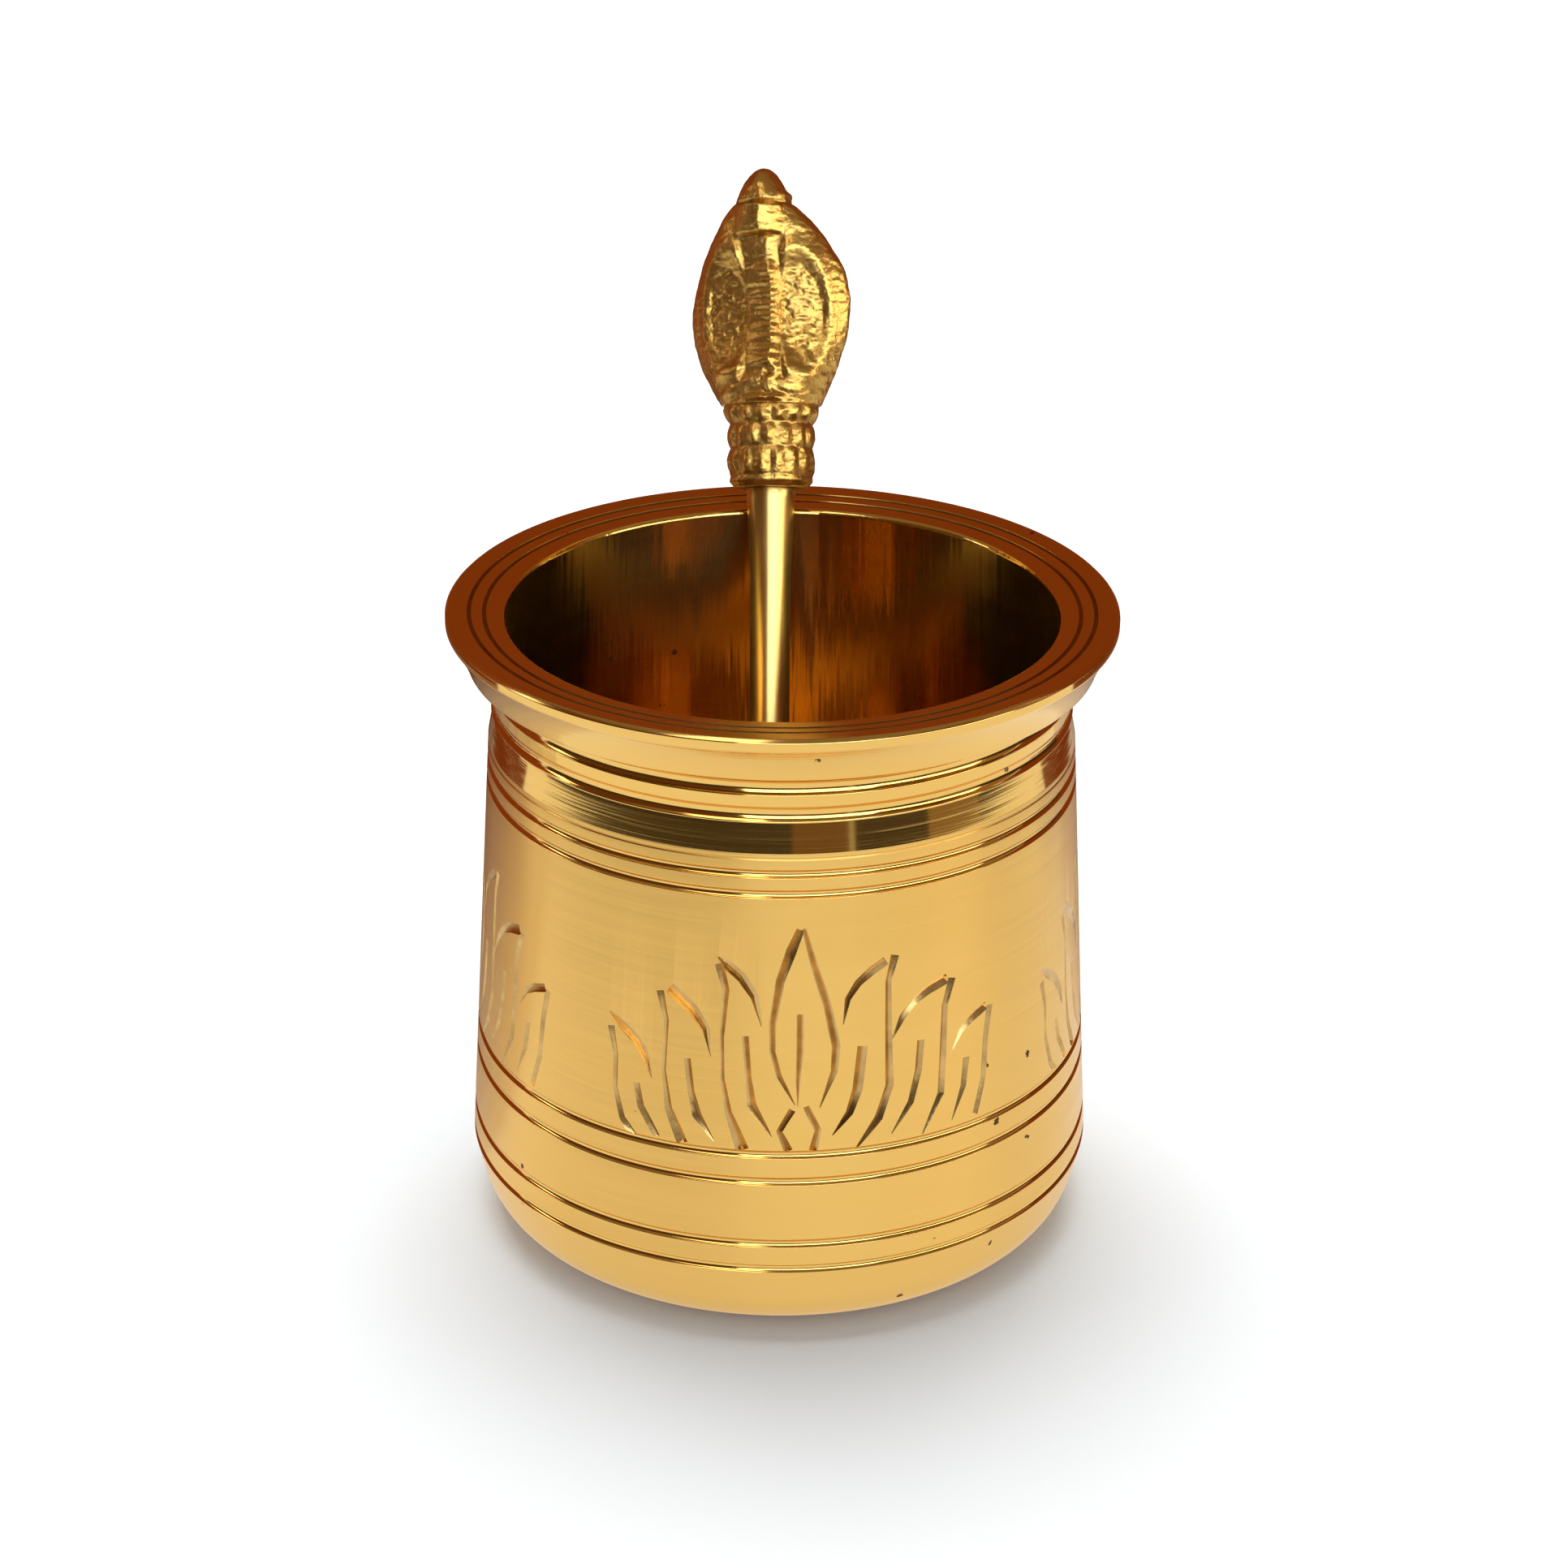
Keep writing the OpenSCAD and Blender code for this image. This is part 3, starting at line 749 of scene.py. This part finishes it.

# %% [markdown]
# ## Finishes of the cup
# Each face takes the finish of its place: satin on the wall, polish in the grooves, on the rings and under
# the rim, the rim's own finish on its top and on the floor inside, upright tool marks on the wall inside,
# and a dark colour of painted shade in the rim's two lines. Faces that the chisel made keep their own.

# %% Share out the finishes
ON_WALL, ON_RINGS, ON_FLATS, WITHIN, IN_LINES = range(5)
LINE_HALF, GROOVE_HALF = 0.22, 0.56
UPWARDS = 0.7
SHARP = math.radians(30)
cut_slot = cup.data.materials.find(chisel_cut.name)


def cup_finish(face):
    """Which of the cup's finishes a face takes, by its place and the way it looks."""
    radius = math.hypot(face.center.x, face.center.y) / MM
    height = face.center.z / MM
    looks_out = face.normal.x * face.center.x + face.normal.y * face.center.y
    # The rim's two lines take the dark colour of painted shade.
    if height > LIP_Z and any(abs(radius - line_r) < LINE_HALF for line_r in RIM_LINES):
        return IN_LINES
    if face.normal.z > UPWARDS and (height > LIP_Z or height < CORNER[1]):
        return ON_FLATS
    if height > FLOOR_Z - 0.5 and looks_out < 0:
        return WITHIN
    if height > SHOULDER_Z - 0.1 or any(abs(height - groove_z) < GROOVE_HALF for groove_z in GROOVES):
        return ON_RINGS
    return ON_WALL


for face in cup.data.polygons:
    if face.material_index != cut_slot:
        face.material_index = cup_finish(face)
take_up(cup)
bpy.ops.object.shade_smooth_by_angle(angle=SHARP)
apply_modifier(cup, "WEIGHTED_NORMAL", keep_sharp=True)
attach(cup, "vessel")
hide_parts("cup")
print("turned_cup finishes:", [slot.name for slot in cup.data.materials])

# %% [markdown]
# ## The spoon's own frame
# The spoon leans in the mouth, so its pieces are made upright, standing on the tip of the bowl,
# and each one is leaned into its place at the end. The place is read from the CAD bowl's box.

# %% Lean a piece into the mouth
LEAN = math.radians(25)
BRIM_FORWARD = 1.2
bowl_low, bowl_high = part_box("spoon_bowl")
spoon_tip = Vector((
    (bowl_low.x + bowl_high.x) / 2,
    bowl_low.y + BRIM_FORWARD * MM * math.cos(LEAN),
    bowl_low.z - BRIM_FORWARD * MM * math.sin(LEAN)))


def lean_in_mouth(piece):
    """Leans a piece that was made upright, with its place kept in its mesh."""
    take_up(piece)
    piece.location = spoon_tip
    piece.rotation_euler = (-LEAN, 0, 0)
    settle()
    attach(piece, "spoon")


def spoon_place(finish):
    """Object coordinates turned back into the spoon's own frame."""
    place = start_graph(finish, "ShaderNodeTexCoord", "Object")
    return place.node("ShaderNodeMapping", {"vector_type": "TEXTURE"}, {
        "Vector": place, "Location": spoon_tip, "Rotation": (-LEAN, 0, 0)})


print("spoon tip in mm:", [round(value / MM, 2) for value in spoon_tip])

# %% [markdown]
# ## The shank
# The shank is a plain turned rod. It swells a little at both ends and has a tenon in each socket,
# where the maker brazed it. It is drawn and spun like the cup.

# %% Turn the shank
BOSS_TOP, COLLAR_Z = 32.0, 82.56
TENON_R, TENON_LEN = 1.6, 5.0
WAIST_R, TOP_R, BOSS_R, SWELL = 2.4, 3.0, 3.1, 14.0
ROD_ROWS, ROD_STEPS = 40, 96


def rod_r(height):
    """Radius of the rod, which swells at both ends."""
    to_top = max(0, 1 - (COLLAR_Z - height) / SWELL)**2
    to_boss = max(0, 1 - (height - BOSS_TOP) / SWELL)**2
    return WAIST_R + (TOP_R - WAIST_R) * to_top + (BOSS_R - WAIST_R) * to_boss


rod_heights = [BOSS_TOP + (COLLAR_Z - BOSS_TOP) * step / ROD_ROWS for step in range(ROD_ROWS + 1)]
rod = [(0, BOSS_TOP - TENON_LEN), (TENON_R, BOSS_TOP - TENON_LEN), (TENON_R, BOSS_TOP)]
rod += [(rod_r(height), height) for height in rod_heights]
rod += [(TENON_R, COLLAR_Z), (TENON_R, COLLAR_Z + TENON_LEN), (0, COLLAR_Z + TENON_LEN)]
shank = draw_profile("turned_shank", rod)
ease_corners(shank, 0.12, 40)
spin_profile(shank, ROD_STEPS)

rod_polish = bpy.data.materials.new("rod_polish")
place = spoon_place(rod_polish)
cloud = cloudy(place, 160.0, 4.0)
tint = mixed(cloud, (0.78, 0.51, 0.15, 1), (0.87, 0.60, 0.21, 1))
bare_brass(place, tint, 0.24 + 0.12 * cloud, turned_noise(place, 4, 0.18, 2), 0.004)

shank.data.materials.append(rod_polish)
lean_in_mouth(shank)
bpy.ops.object.shade_smooth_by_angle(angle=SHARP)
apply_modifier(shank, "WEIGHTED_NORMAL", keep_sharp=True)
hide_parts("spoon_shank")
print("turned_shank:", len(shank.data.polygons), "faces")

# %% [markdown]
# ## The spoon's bowl
# The bowl is a shallow cup hammered over a round stake, with a short boss that holds the shank.
# A sphere is cut flat at the brim, the boss is joined on, and a smaller sphere hollows it.
# A cylinder opens the socket.

# %% Shape the bowl
BOWL_D, BOWL_DEPTH, BOWL_T = 26.0, 7.0, 1.2
BRAZE_GAP = 0.05
BALL_SEGMENTS, BALL_RINGS, BOSS_SIDES = 160, 120, 64
ball_r = (BOWL_D**2 / 4 + BOWL_DEPTH**2) / (2 * BOWL_DEPTH)
ball_place = Vector((0, BOWL_DEPTH - ball_r - BRIM_FORWARD, BOWL_D / 2)) * MM


def add_ball(name, radius):
    """A fine sphere about the bowl's centre, with its poles towards the front and back."""
    let_go()
    bpy.ops.mesh.primitive_uv_sphere_add(
        segments=BALL_SEGMENTS, ring_count=BALL_RINGS, radius=radius * MM, location=ball_place,
        rotation=(math.pi / 2, 0, 0))
    ball = bpy.context.object
    ball.name = name
    ball.data.name = name
    settle()
    return ball


def add_rod(name, radius, low, high):
    """A fine cylinder on the spoon's axis."""
    let_go()
    bpy.ops.mesh.primitive_cylinder_add(
        vertices=BOSS_SIDES, radius=radius * MM, depth=(high - low) * MM,
        location=(0, 0, (low + high) / 2 * MM))
    rod_piece = bpy.context.object
    rod_piece.name = name
    settle()
    return rod_piece


bowl = add_ball("spoon_bowl_piece", ball_r)
bpy.ops.object.mode_set(mode="EDIT")
bpy.ops.mesh.select_all(action="SELECT")
bpy.ops.mesh.bisect(
    plane_co=(0, -BRIM_FORWARD * MM, 0), plane_no=(0, -1, 0), clear_outer=True, use_fill=True,
    threshold=TINY * MM)
bpy.ops.object.mode_set(mode="OBJECT")
boss = add_rod("boss", BOSS_R, BOWL_D - BOSS_R, BOSS_TOP)
apply_modifier(bowl, "BOOLEAN", operation="UNION", solver="EXACT", object=boss)
bpy.data.objects.remove(boss)
cut_with(bowl, add_ball("hollow_tool", ball_r - BOWL_T))
socket_low = BOSS_TOP - TENON_LEN - BRAZE_GAP
cut_with(bowl, add_rod("socket_tool", TENON_R + BRAZE_GAP, socket_low, BOSS_TOP + BRAZE_GAP))
print("bowl before its brim is eased:", len(bowl.data.polygons), "faces")

# %% [markdown]
# A sharp brim would hurt the lip, so a bevel eases its edges, which are found by their place.
# The finish keeps faint dents of the hammer.

# %% Ease the brim
BRIM_EASE = 0.25

take_up(bowl)
unmark("EDGE")
brim_y = -BRIM_FORWARD * MM
for edge in bowl.data.edges:
    ends = [bowl.data.vertices[index].co for index in edge.vertices]
    middle = (ends[0] + ends[1]) / 2
    on_brim = all(abs(end.y - brim_y) < 2 * TINY * MM for end in ends)
    off_axis = math.hypot(middle.x, middle.z - BOWL_D / 2 * MM)
    at_edge = abs(off_axis - BOWL_D / 2 * MM) < BRIM_EASE * MM
    edge.select = on_brim and at_edge and middle.z < (BOWL_D - 0.6) * MM
bpy.ops.object.mode_set(mode="EDIT")
bpy.ops.mesh.bevel(offset=BRIM_EASE * MM, segments=3, affect="EDGES")
bpy.ops.mesh.select_mode(type="VERT")
bpy.ops.object.mode_set(mode="OBJECT")

bowl_polish = bpy.data.materials.new("bowl_polish")
place = spoon_place(bowl_polish)
dents = place.node("ShaderNodeTexVoronoi", {"feature": "SMOOTH_F1"}, {"Vector": place, "Scale": 420.0})
cloud = cloudy(place, 140.0, 5.0)
tint = mixed(cloud, (0.72, 0.44, 0.12, 1), (0.84, 0.56, 0.19, 1))
bare_brass(place, tint, 0.14 + 0.14 * cloud, dents, 0.06, strength=0.6)

bowl.data.materials.clear()
bowl.data.materials.append(bowl_polish)
lean_in_mouth(bowl)
bpy.ops.object.shade_smooth_by_angle(angle=SHARP)
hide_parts("spoon_bowl")
print("spoon_bowl_piece:", len(bowl.data.polygons), "faces")

# %% [markdown]
# ## The cobra-hood finial
# The finial is one casting: a collar of beads, and above it a spread hood with a ribbed belly,
# two pebbled panels in raised borders, a throat and a small round head.
# A carver would raise this from a blank, so a fine grid is wrapped into the blank here, and every vertex
# is then moved by the carving. The wrap starts in the socket, so the hole for the tenon needs no cutting.

# %% Outline of the blank
COLLAR_H, COLLAR_R = 9.7, 5.3
HOOD_H, HOOD_HALF, HOOD_PEAK = 23.8, 9.75, 11.4
HOOD_ROOT = 6.0
HOOD_FRONT, HOOD_BACK = 3.5, 2.8
HEAD_R, HEAD_H, HEAD_FORWARD = 3.4, 4.3, 2.4
FINIAL_TURN = math.radians(-14)


def ease(share):
    """Rises smoothly from 0 to 1."""
    share = max(0.0, min(1.0, share))
    return share * share * (3 - 2 * share)


def blend(first, second, share):
    """The first number where the share is 0, the second where it is 1."""
    return first + (second - first) * share


def hood_half(up):
    """Half width of the hood and the head, so far above the collar."""
    if up < HOOD_PEAK:
        return blend(HOOD_ROOT, HOOD_HALF, math.sin(math.pi / 2 * max(0, up) / HOOD_PEAK))
    if up < HOOD_H:
        fall = math.cos(math.pi / 2 * (up - HOOD_PEAK) / (HOOD_H - HOOD_PEAK))
        return blend(HEAD_R, HOOD_HALF, max(0, fall)**0.8)
    return HEAD_R * math.sqrt(max(0, 1 - (up - HOOD_H) / HEAD_H))


def hood_reach(up, spread):
    """How far the hood stands in front of its middle, or behind it."""
    if up < HOOD_PEAK:
        return blend(COLLAR_R, spread, ease(up / HOOD_PEAK))
    if up < HOOD_H:
        return blend(spread, HEAD_R, ease((up - HOOD_PEAK) / (HOOD_H - HOOD_PEAK)))
    return HEAD_R * math.sqrt(max(0, 1 - ((up - HOOD_H) / HEAD_H)**2))


def hood_bend(up):
    """How far the hood bends to the front."""
    return HEAD_FORWARD * max(0, min(1, up / HOOD_H))**2


print("finial height:", COLLAR_H + HOOD_H + HEAD_H, "mm")

# %% [markdown]
# The carving is a sum of small reliefs, each in its place. Each rule also says how much of a gap it is,
# because dirt and tarnish stay there: that number is kept on the vertices for the finish.

# %% Carving of the hood
BELLY_LOW, BELLY_HIGH, BELLY_HALF = 3.6, 20.2, 2.1
KEEL, KEEL_RISE, KEEL_FADE = 1.1, 1.05, 17.4
RIB_PITCH, RIB_DEPTH, RIB_FADE = 1.3, 0.24, 16.8
PEBBLE, PEBBLE_RISE = 0.6, 0.24
PANEL_ACROSS, PANEL_UP, PANEL_SINK = 4.5, 10.9, 0.4
PANEL_HALF_W, PANEL_HALF_H = 2.8, 6.5
BORDER_RISE = 0.6
THROAT_LOW, THROAT_HALF = 19.9, 2.9
CHIN_LINE, CHIN_DEPTH = 0.28, 0.35


def hump(place, middle, half):
    """1 at the middle, falling smoothly to nothing on both sides."""
    return math.exp(-((place - middle) / half)**2)


def barrel(side, half):
    """Section of a round bar: 1 on its crown and 0 at its sides."""
    return math.sqrt(max(0.0, 1 - (side / half)**2))


def roof(across, ridge, half):
    """Section of a roof with its ridge off the middle: 1 on the ridge and 0 at both eaves."""
    reach = half - ridge if across > ridge else half + ridge
    return max(0.0, 1 - math.hypot(across - ridge, 0.12) / reach)


def pebbles(across, up):
    """1 on the crown of a worn pebble and 0 between pebbles."""
    return max(0.0, min(1.0, 0.5 + 0.9 * noise.noise(Vector((across, up, 0.3)) / PEBBLE)))


def hood_carving(across, up):
    """Rise of the hood's front in mm and the share of a gap."""
    side = abs(across)
    on_belly = ease((up - BELLY_LOW) / 1.4) * ease((BELLY_HIGH - up) / 0.8)
    keel = on_belly * roof(across, KEEL, BELLY_HALF) * (0.35 + 0.65 * ease((KEEL_FADE - up) / 1.6))
    ribbed = keel * ease((RIB_FADE - up) / 1.2)
    rib = 0.5 + 0.5 * math.cos(math.tau * up / RIB_PITCH)
    rise = KEEL_RISE * keel - RIB_DEPTH * ribbed * (1 - rib)
    gap = max(0.3 * ribbed * (1 - rib), 0.5 * on_belly * hump(side, BELLY_HALF + 0.1, 0.25))
    oval = math.hypot((side - PANEL_ACROSS) / PANEL_HALF_W, (up - PANEL_UP) / PANEL_HALF_H)
    in_panel = ease((1 - oval) / 0.25)
    pebble = pebbles(across, up)
    rise += in_panel * (PEBBLE_RISE * pebble - PANEL_SINK)
    gap = max(gap, in_panel * 0.3 * (1 - pebble))
    outer = ease((side - 2.0) / 1.2)
    rise += BORDER_RISE * outer * hump(oval, 1.2, 0.2)
    gap = max(gap, 0.5 * outer * hump(oval, 0.97, 0.08))
    throat = ease(3 * (up - THROAT_LOW)) * ease(2 * (HOOD_H - up))
    rise += throat * (0.5 * barrel(side, THROAT_HALF) + 0.5 * roof(across, 0.3, THROAT_HALF))
    chin = hump(up, HOOD_H, CHIN_LINE)
    under_throat = hump(up, THROAT_LOW, 0.3) * ease(THROAT_HALF + 0.3 - side)
    return rise - CHIN_DEPTH * chin, max(gap, 0.7 * chin, 0.7 * under_throat)


def root_carving(across, up):
    """The coil and folds between the collar and the panels."""
    there = ease((up - 0.1) / 0.6) * ease((4.9 - up) / 0.8)
    coil = hump(across, 1.25 + 0.45 * math.sin(1.745 * up + 0.7), 0.55)
    folds = math.sin(2.3 * up + 1.1 * abs(across))
    bar = hump(up, 0.7, 0.4) * ease(3.4 - abs(across))
    return there * (0.5 * coil + 0.18 * folds) + 0.3 * bar, there * (1 - coil) * ease(-folds) * 0.5


print("rise at the keel:", round(hood_carving(KEEL, PANEL_UP)[0], 2), "mm")
print("rise in a panel:", round(hood_carving(PANEL_ACROSS, PANEL_UP)[0], 2), "mm")

# %% [markdown]
# The collar has a plain lip, a row of petals, a row of ovals and a row of round beads.

# %% Carving of the collar
BEADS = 16
ROWS = ((-6.6, 1.7, 0.0), (-3.55, 1.4, 0.5), (-1.05, 1.05, 0.0))
NECKS = (-8.35, -4.95, -2.1)


def collar_carving(angle, up):
    """Radius of the collar in mm and the share of a gap."""
    core = COLLAR_R - 0.35 - 0.55 * ease((-8.9 - up) / 0.8)
    pitch = math.tau / BEADS
    bead = 0.0
    for middle, half, offset in ROWS:
        count = round(angle / pitch - offset)
        whim = math.sin(5.1 * (count % BEADS) + 9 * middle)
        size = 0.88 + 0.1 * whim
        beside = (angle - (count + offset + 0.06 * whim) * pitch) * COLLAR_R / (0.9 * size)
        above = (up - middle + 0.12 * whim) / (half * size)
        bead = max(bead, math.exp(-1.3 * (beside**2 + abs(above)**2.4)))
    neck = max(hump(up, middle, 0.22) for middle in NECKS)
    in_rows = ease((up + 8.4) / 0.2)
    return core - 0.08 * neck + 0.36 * bead, max(neck, in_rows * (1 - bead)**2) * 0.4


print("collar radius on a bead:", round(collar_carving(0, -1.05)[0], 2), "mm")

# %% [markdown]
# Each row of the grid goes once round the finial, and the rows climb from the socket to the head.
# The last column lands on the first, so merging the doubles closes the seam.

# %% Wrap the grid and carve it
COLUMNS, ROW_PITCH, HEAD_ROWS = 264, 0.14, 36
LIP_R = 3.2
BROAD_LUMPS, FINE_LUMPS = 0.13, 0.06
SET_RIGHT, SET_LEFT, SWAY = -0.9, 1.4, 0.5
FLATNESS = 1.25
SPINE_RISE, SPINE_HALF = 0.35, 1.4
KNOB_RISE, KNOB_UP, KNOB_HALF = 0.4, 1.0, 0.45
SOCKET_R = TENON_R + BRAZE_GAP
SOCKET_TOP = TENON_LEN + BRAZE_GAP - COLLAR_H


def finial_rows():
    """Radius and height of the rows in the socket and under the lip, then heights alone, up to the head."""
    rows = [(0, SOCKET_TOP), (SOCKET_R, SOCKET_TOP), (SOCKET_R, -COLLAR_H), (LIP_R, -COLLAR_H)]
    body = round((COLLAR_H + HOOD_H) / ROW_PITCH)
    rows += [(None, blend(-COLLAR_H, HOOD_H, step / body)) for step in range(body + 1)]
    for step in range(1, HEAD_ROWS + 1):
        rows.append((None, HOOD_H + HEAD_H * math.sin(math.pi / 2 * step / HEAD_ROWS)))
    return rows


def carved_point(angle, up):
    """Place of one point of the finial, with the front towards -Y, and its gap."""
    around, ahead = math.cos(angle), math.sin(angle)
    grain = Vector((3 * around, 3 * ahead, up))
    lump = BROAD_LUMPS * noise.noise(grain * 0.55) + FINE_LUMPS * noise.noise(grain * 1.9)
    if up < 0:
        radius, gap = collar_carving(angle, up)
        wider = (HOOD_ROOT - COLLAR_R) * ease((up + 2.4) / 2.4)
        return (radius + wider + lump) * around, (radius + lump) * ahead, gap
    set_off = math.sin(math.pi * min(1, up / HOOD_H)) * (SET_RIGHT if around > 0 else SET_LEFT)
    half = hood_half(up + set_off) if up < HOOD_H else hood_half(up)
    flat = ease(up / HOOD_PEAK) * ease((HOOD_H - up) / (HOOD_H - HOOD_PEAK))
    power = blend(1, FLATNESS, flat)
    across = (half + lump) * math.copysign(abs(around)**power, around)
    thick = math.copysign(abs(ahead)**power, ahead)
    if ahead < 0:
        rise, gap = hood_carving(across, up)
        more, more_gap = root_carving(across, up)
        rise += more * ease(up / 0.5)
        gap = max(gap, more_gap) * abs(ahead)**0.5
        deep = thick * hood_reach(up, HOOD_FRONT) + ahead * (rise + lump)
    else:
        spine = SPINE_RISE * hump(across, 0, SPINE_HALF) * flat
        gap = 0.25 * flat * ease(abs(across) / 2 - 0.4)
        deep = thick * hood_reach(up, HOOD_BACK) + ahead * (spine + lump)
    knob = KNOB_RISE * hump(up - HOOD_H, KNOB_UP, KNOB_HALF) * ease(2 * around - 1)
    sway = SWAY * ease((up - 12) / 10)
    return across + knob - sway, deep - hood_bend(up), gap


rows = finial_rows()
let_go()
bpy.ops.mesh.primitive_grid_add(x_subdivisions=COLUMNS, y_subdivisions=len(rows) - 1, size=1)
finial = bpy.context.object
finial.name = "naga_finial_piece"
finial.data.name = finial.name
print("grid:", len(finial.data.vertices), "vertices for", (COLUMNS + 1) * len(rows))
gaps = finial.data.attributes.new("gap", "FLOAT", "POINT")
for index, vertex in enumerate(finial.data.vertices):
    column = round((vertex.co.x + 0.5) * COLUMNS) % COLUMNS
    radius, up = rows[round((vertex.co.y + 0.5) * (len(rows) - 1))]
    angle = math.tau * column / COLUMNS
    if radius is None:
        across, deep, gap = carved_point(angle, up)
    else:
        across, deep, gap = radius * math.cos(angle), radius * math.sin(angle), 1.0
    gaps.data[index].value = gap
    vertex.co = Vector((
        across * math.cos(FINIAL_TURN) - deep * math.sin(FINIAL_TURN),
        across * math.sin(FINIAL_TURN) + deep * math.cos(FINIAL_TURN),
        COLLAR_Z + COLLAR_H + up)) * MM
bpy.ops.object.mode_set(mode="EDIT")
close_skin()
# A tiny crossed ring at the crown can mislead the recalculation, so the way the faces point is tested.
outwards = sum(face.area * face.normal.dot(face.center) for face in finial.data.polygons)
if outwards < 0:
    finial.data.flip_normals()
finial_size = [round(side / MM, 1) for side in finial.dimensions]
print("naga_finial_piece:", len(finial.data.polygons), "faces,", finial_size)

# %% [markdown]
# Cast brass is rougher than turned brass. Years of rubbing keep its high places bright,
# while the gaps that were kept on the vertices go brown.

# %% Cast brass
GAP_BROWN = (0.26, 0.12, 0.02, 1)

cast_brass = bpy.data.materials.new("cast_brass")
place = spoon_place(cast_brass)
gap = place.node("ShaderNodeAttribute", {"attribute_name": "gap"}, {}, "Fac")
cloud = cloudy(place, 850.0, 2.0)
grain = cloudy(place, 2200.0, 2.0)
dirt = place.math("MINIMUM", gap * (0.35 + 0.7 * cloud), 1.0)
clean = mixed(cloud, (0.65, 0.37, 0.08, 1), (0.80, 0.50, 0.14, 1))
tint = mixed(dirt, clean, GAP_BROWN)
roughness = 0.28 + 0.12 * cloud + 0.1 * dirt
bare_brass(place, tint, roughness, 0.25 * grain + 1.2 * cloud, 0.15)

finial.data.materials.append(cast_brass)
lean_in_mouth(finial)
bpy.ops.object.shade_smooth_by_angle(angle=math.radians(40))
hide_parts("naga_finial")
print("naga_finial_piece has the finish", cast_brass.name)
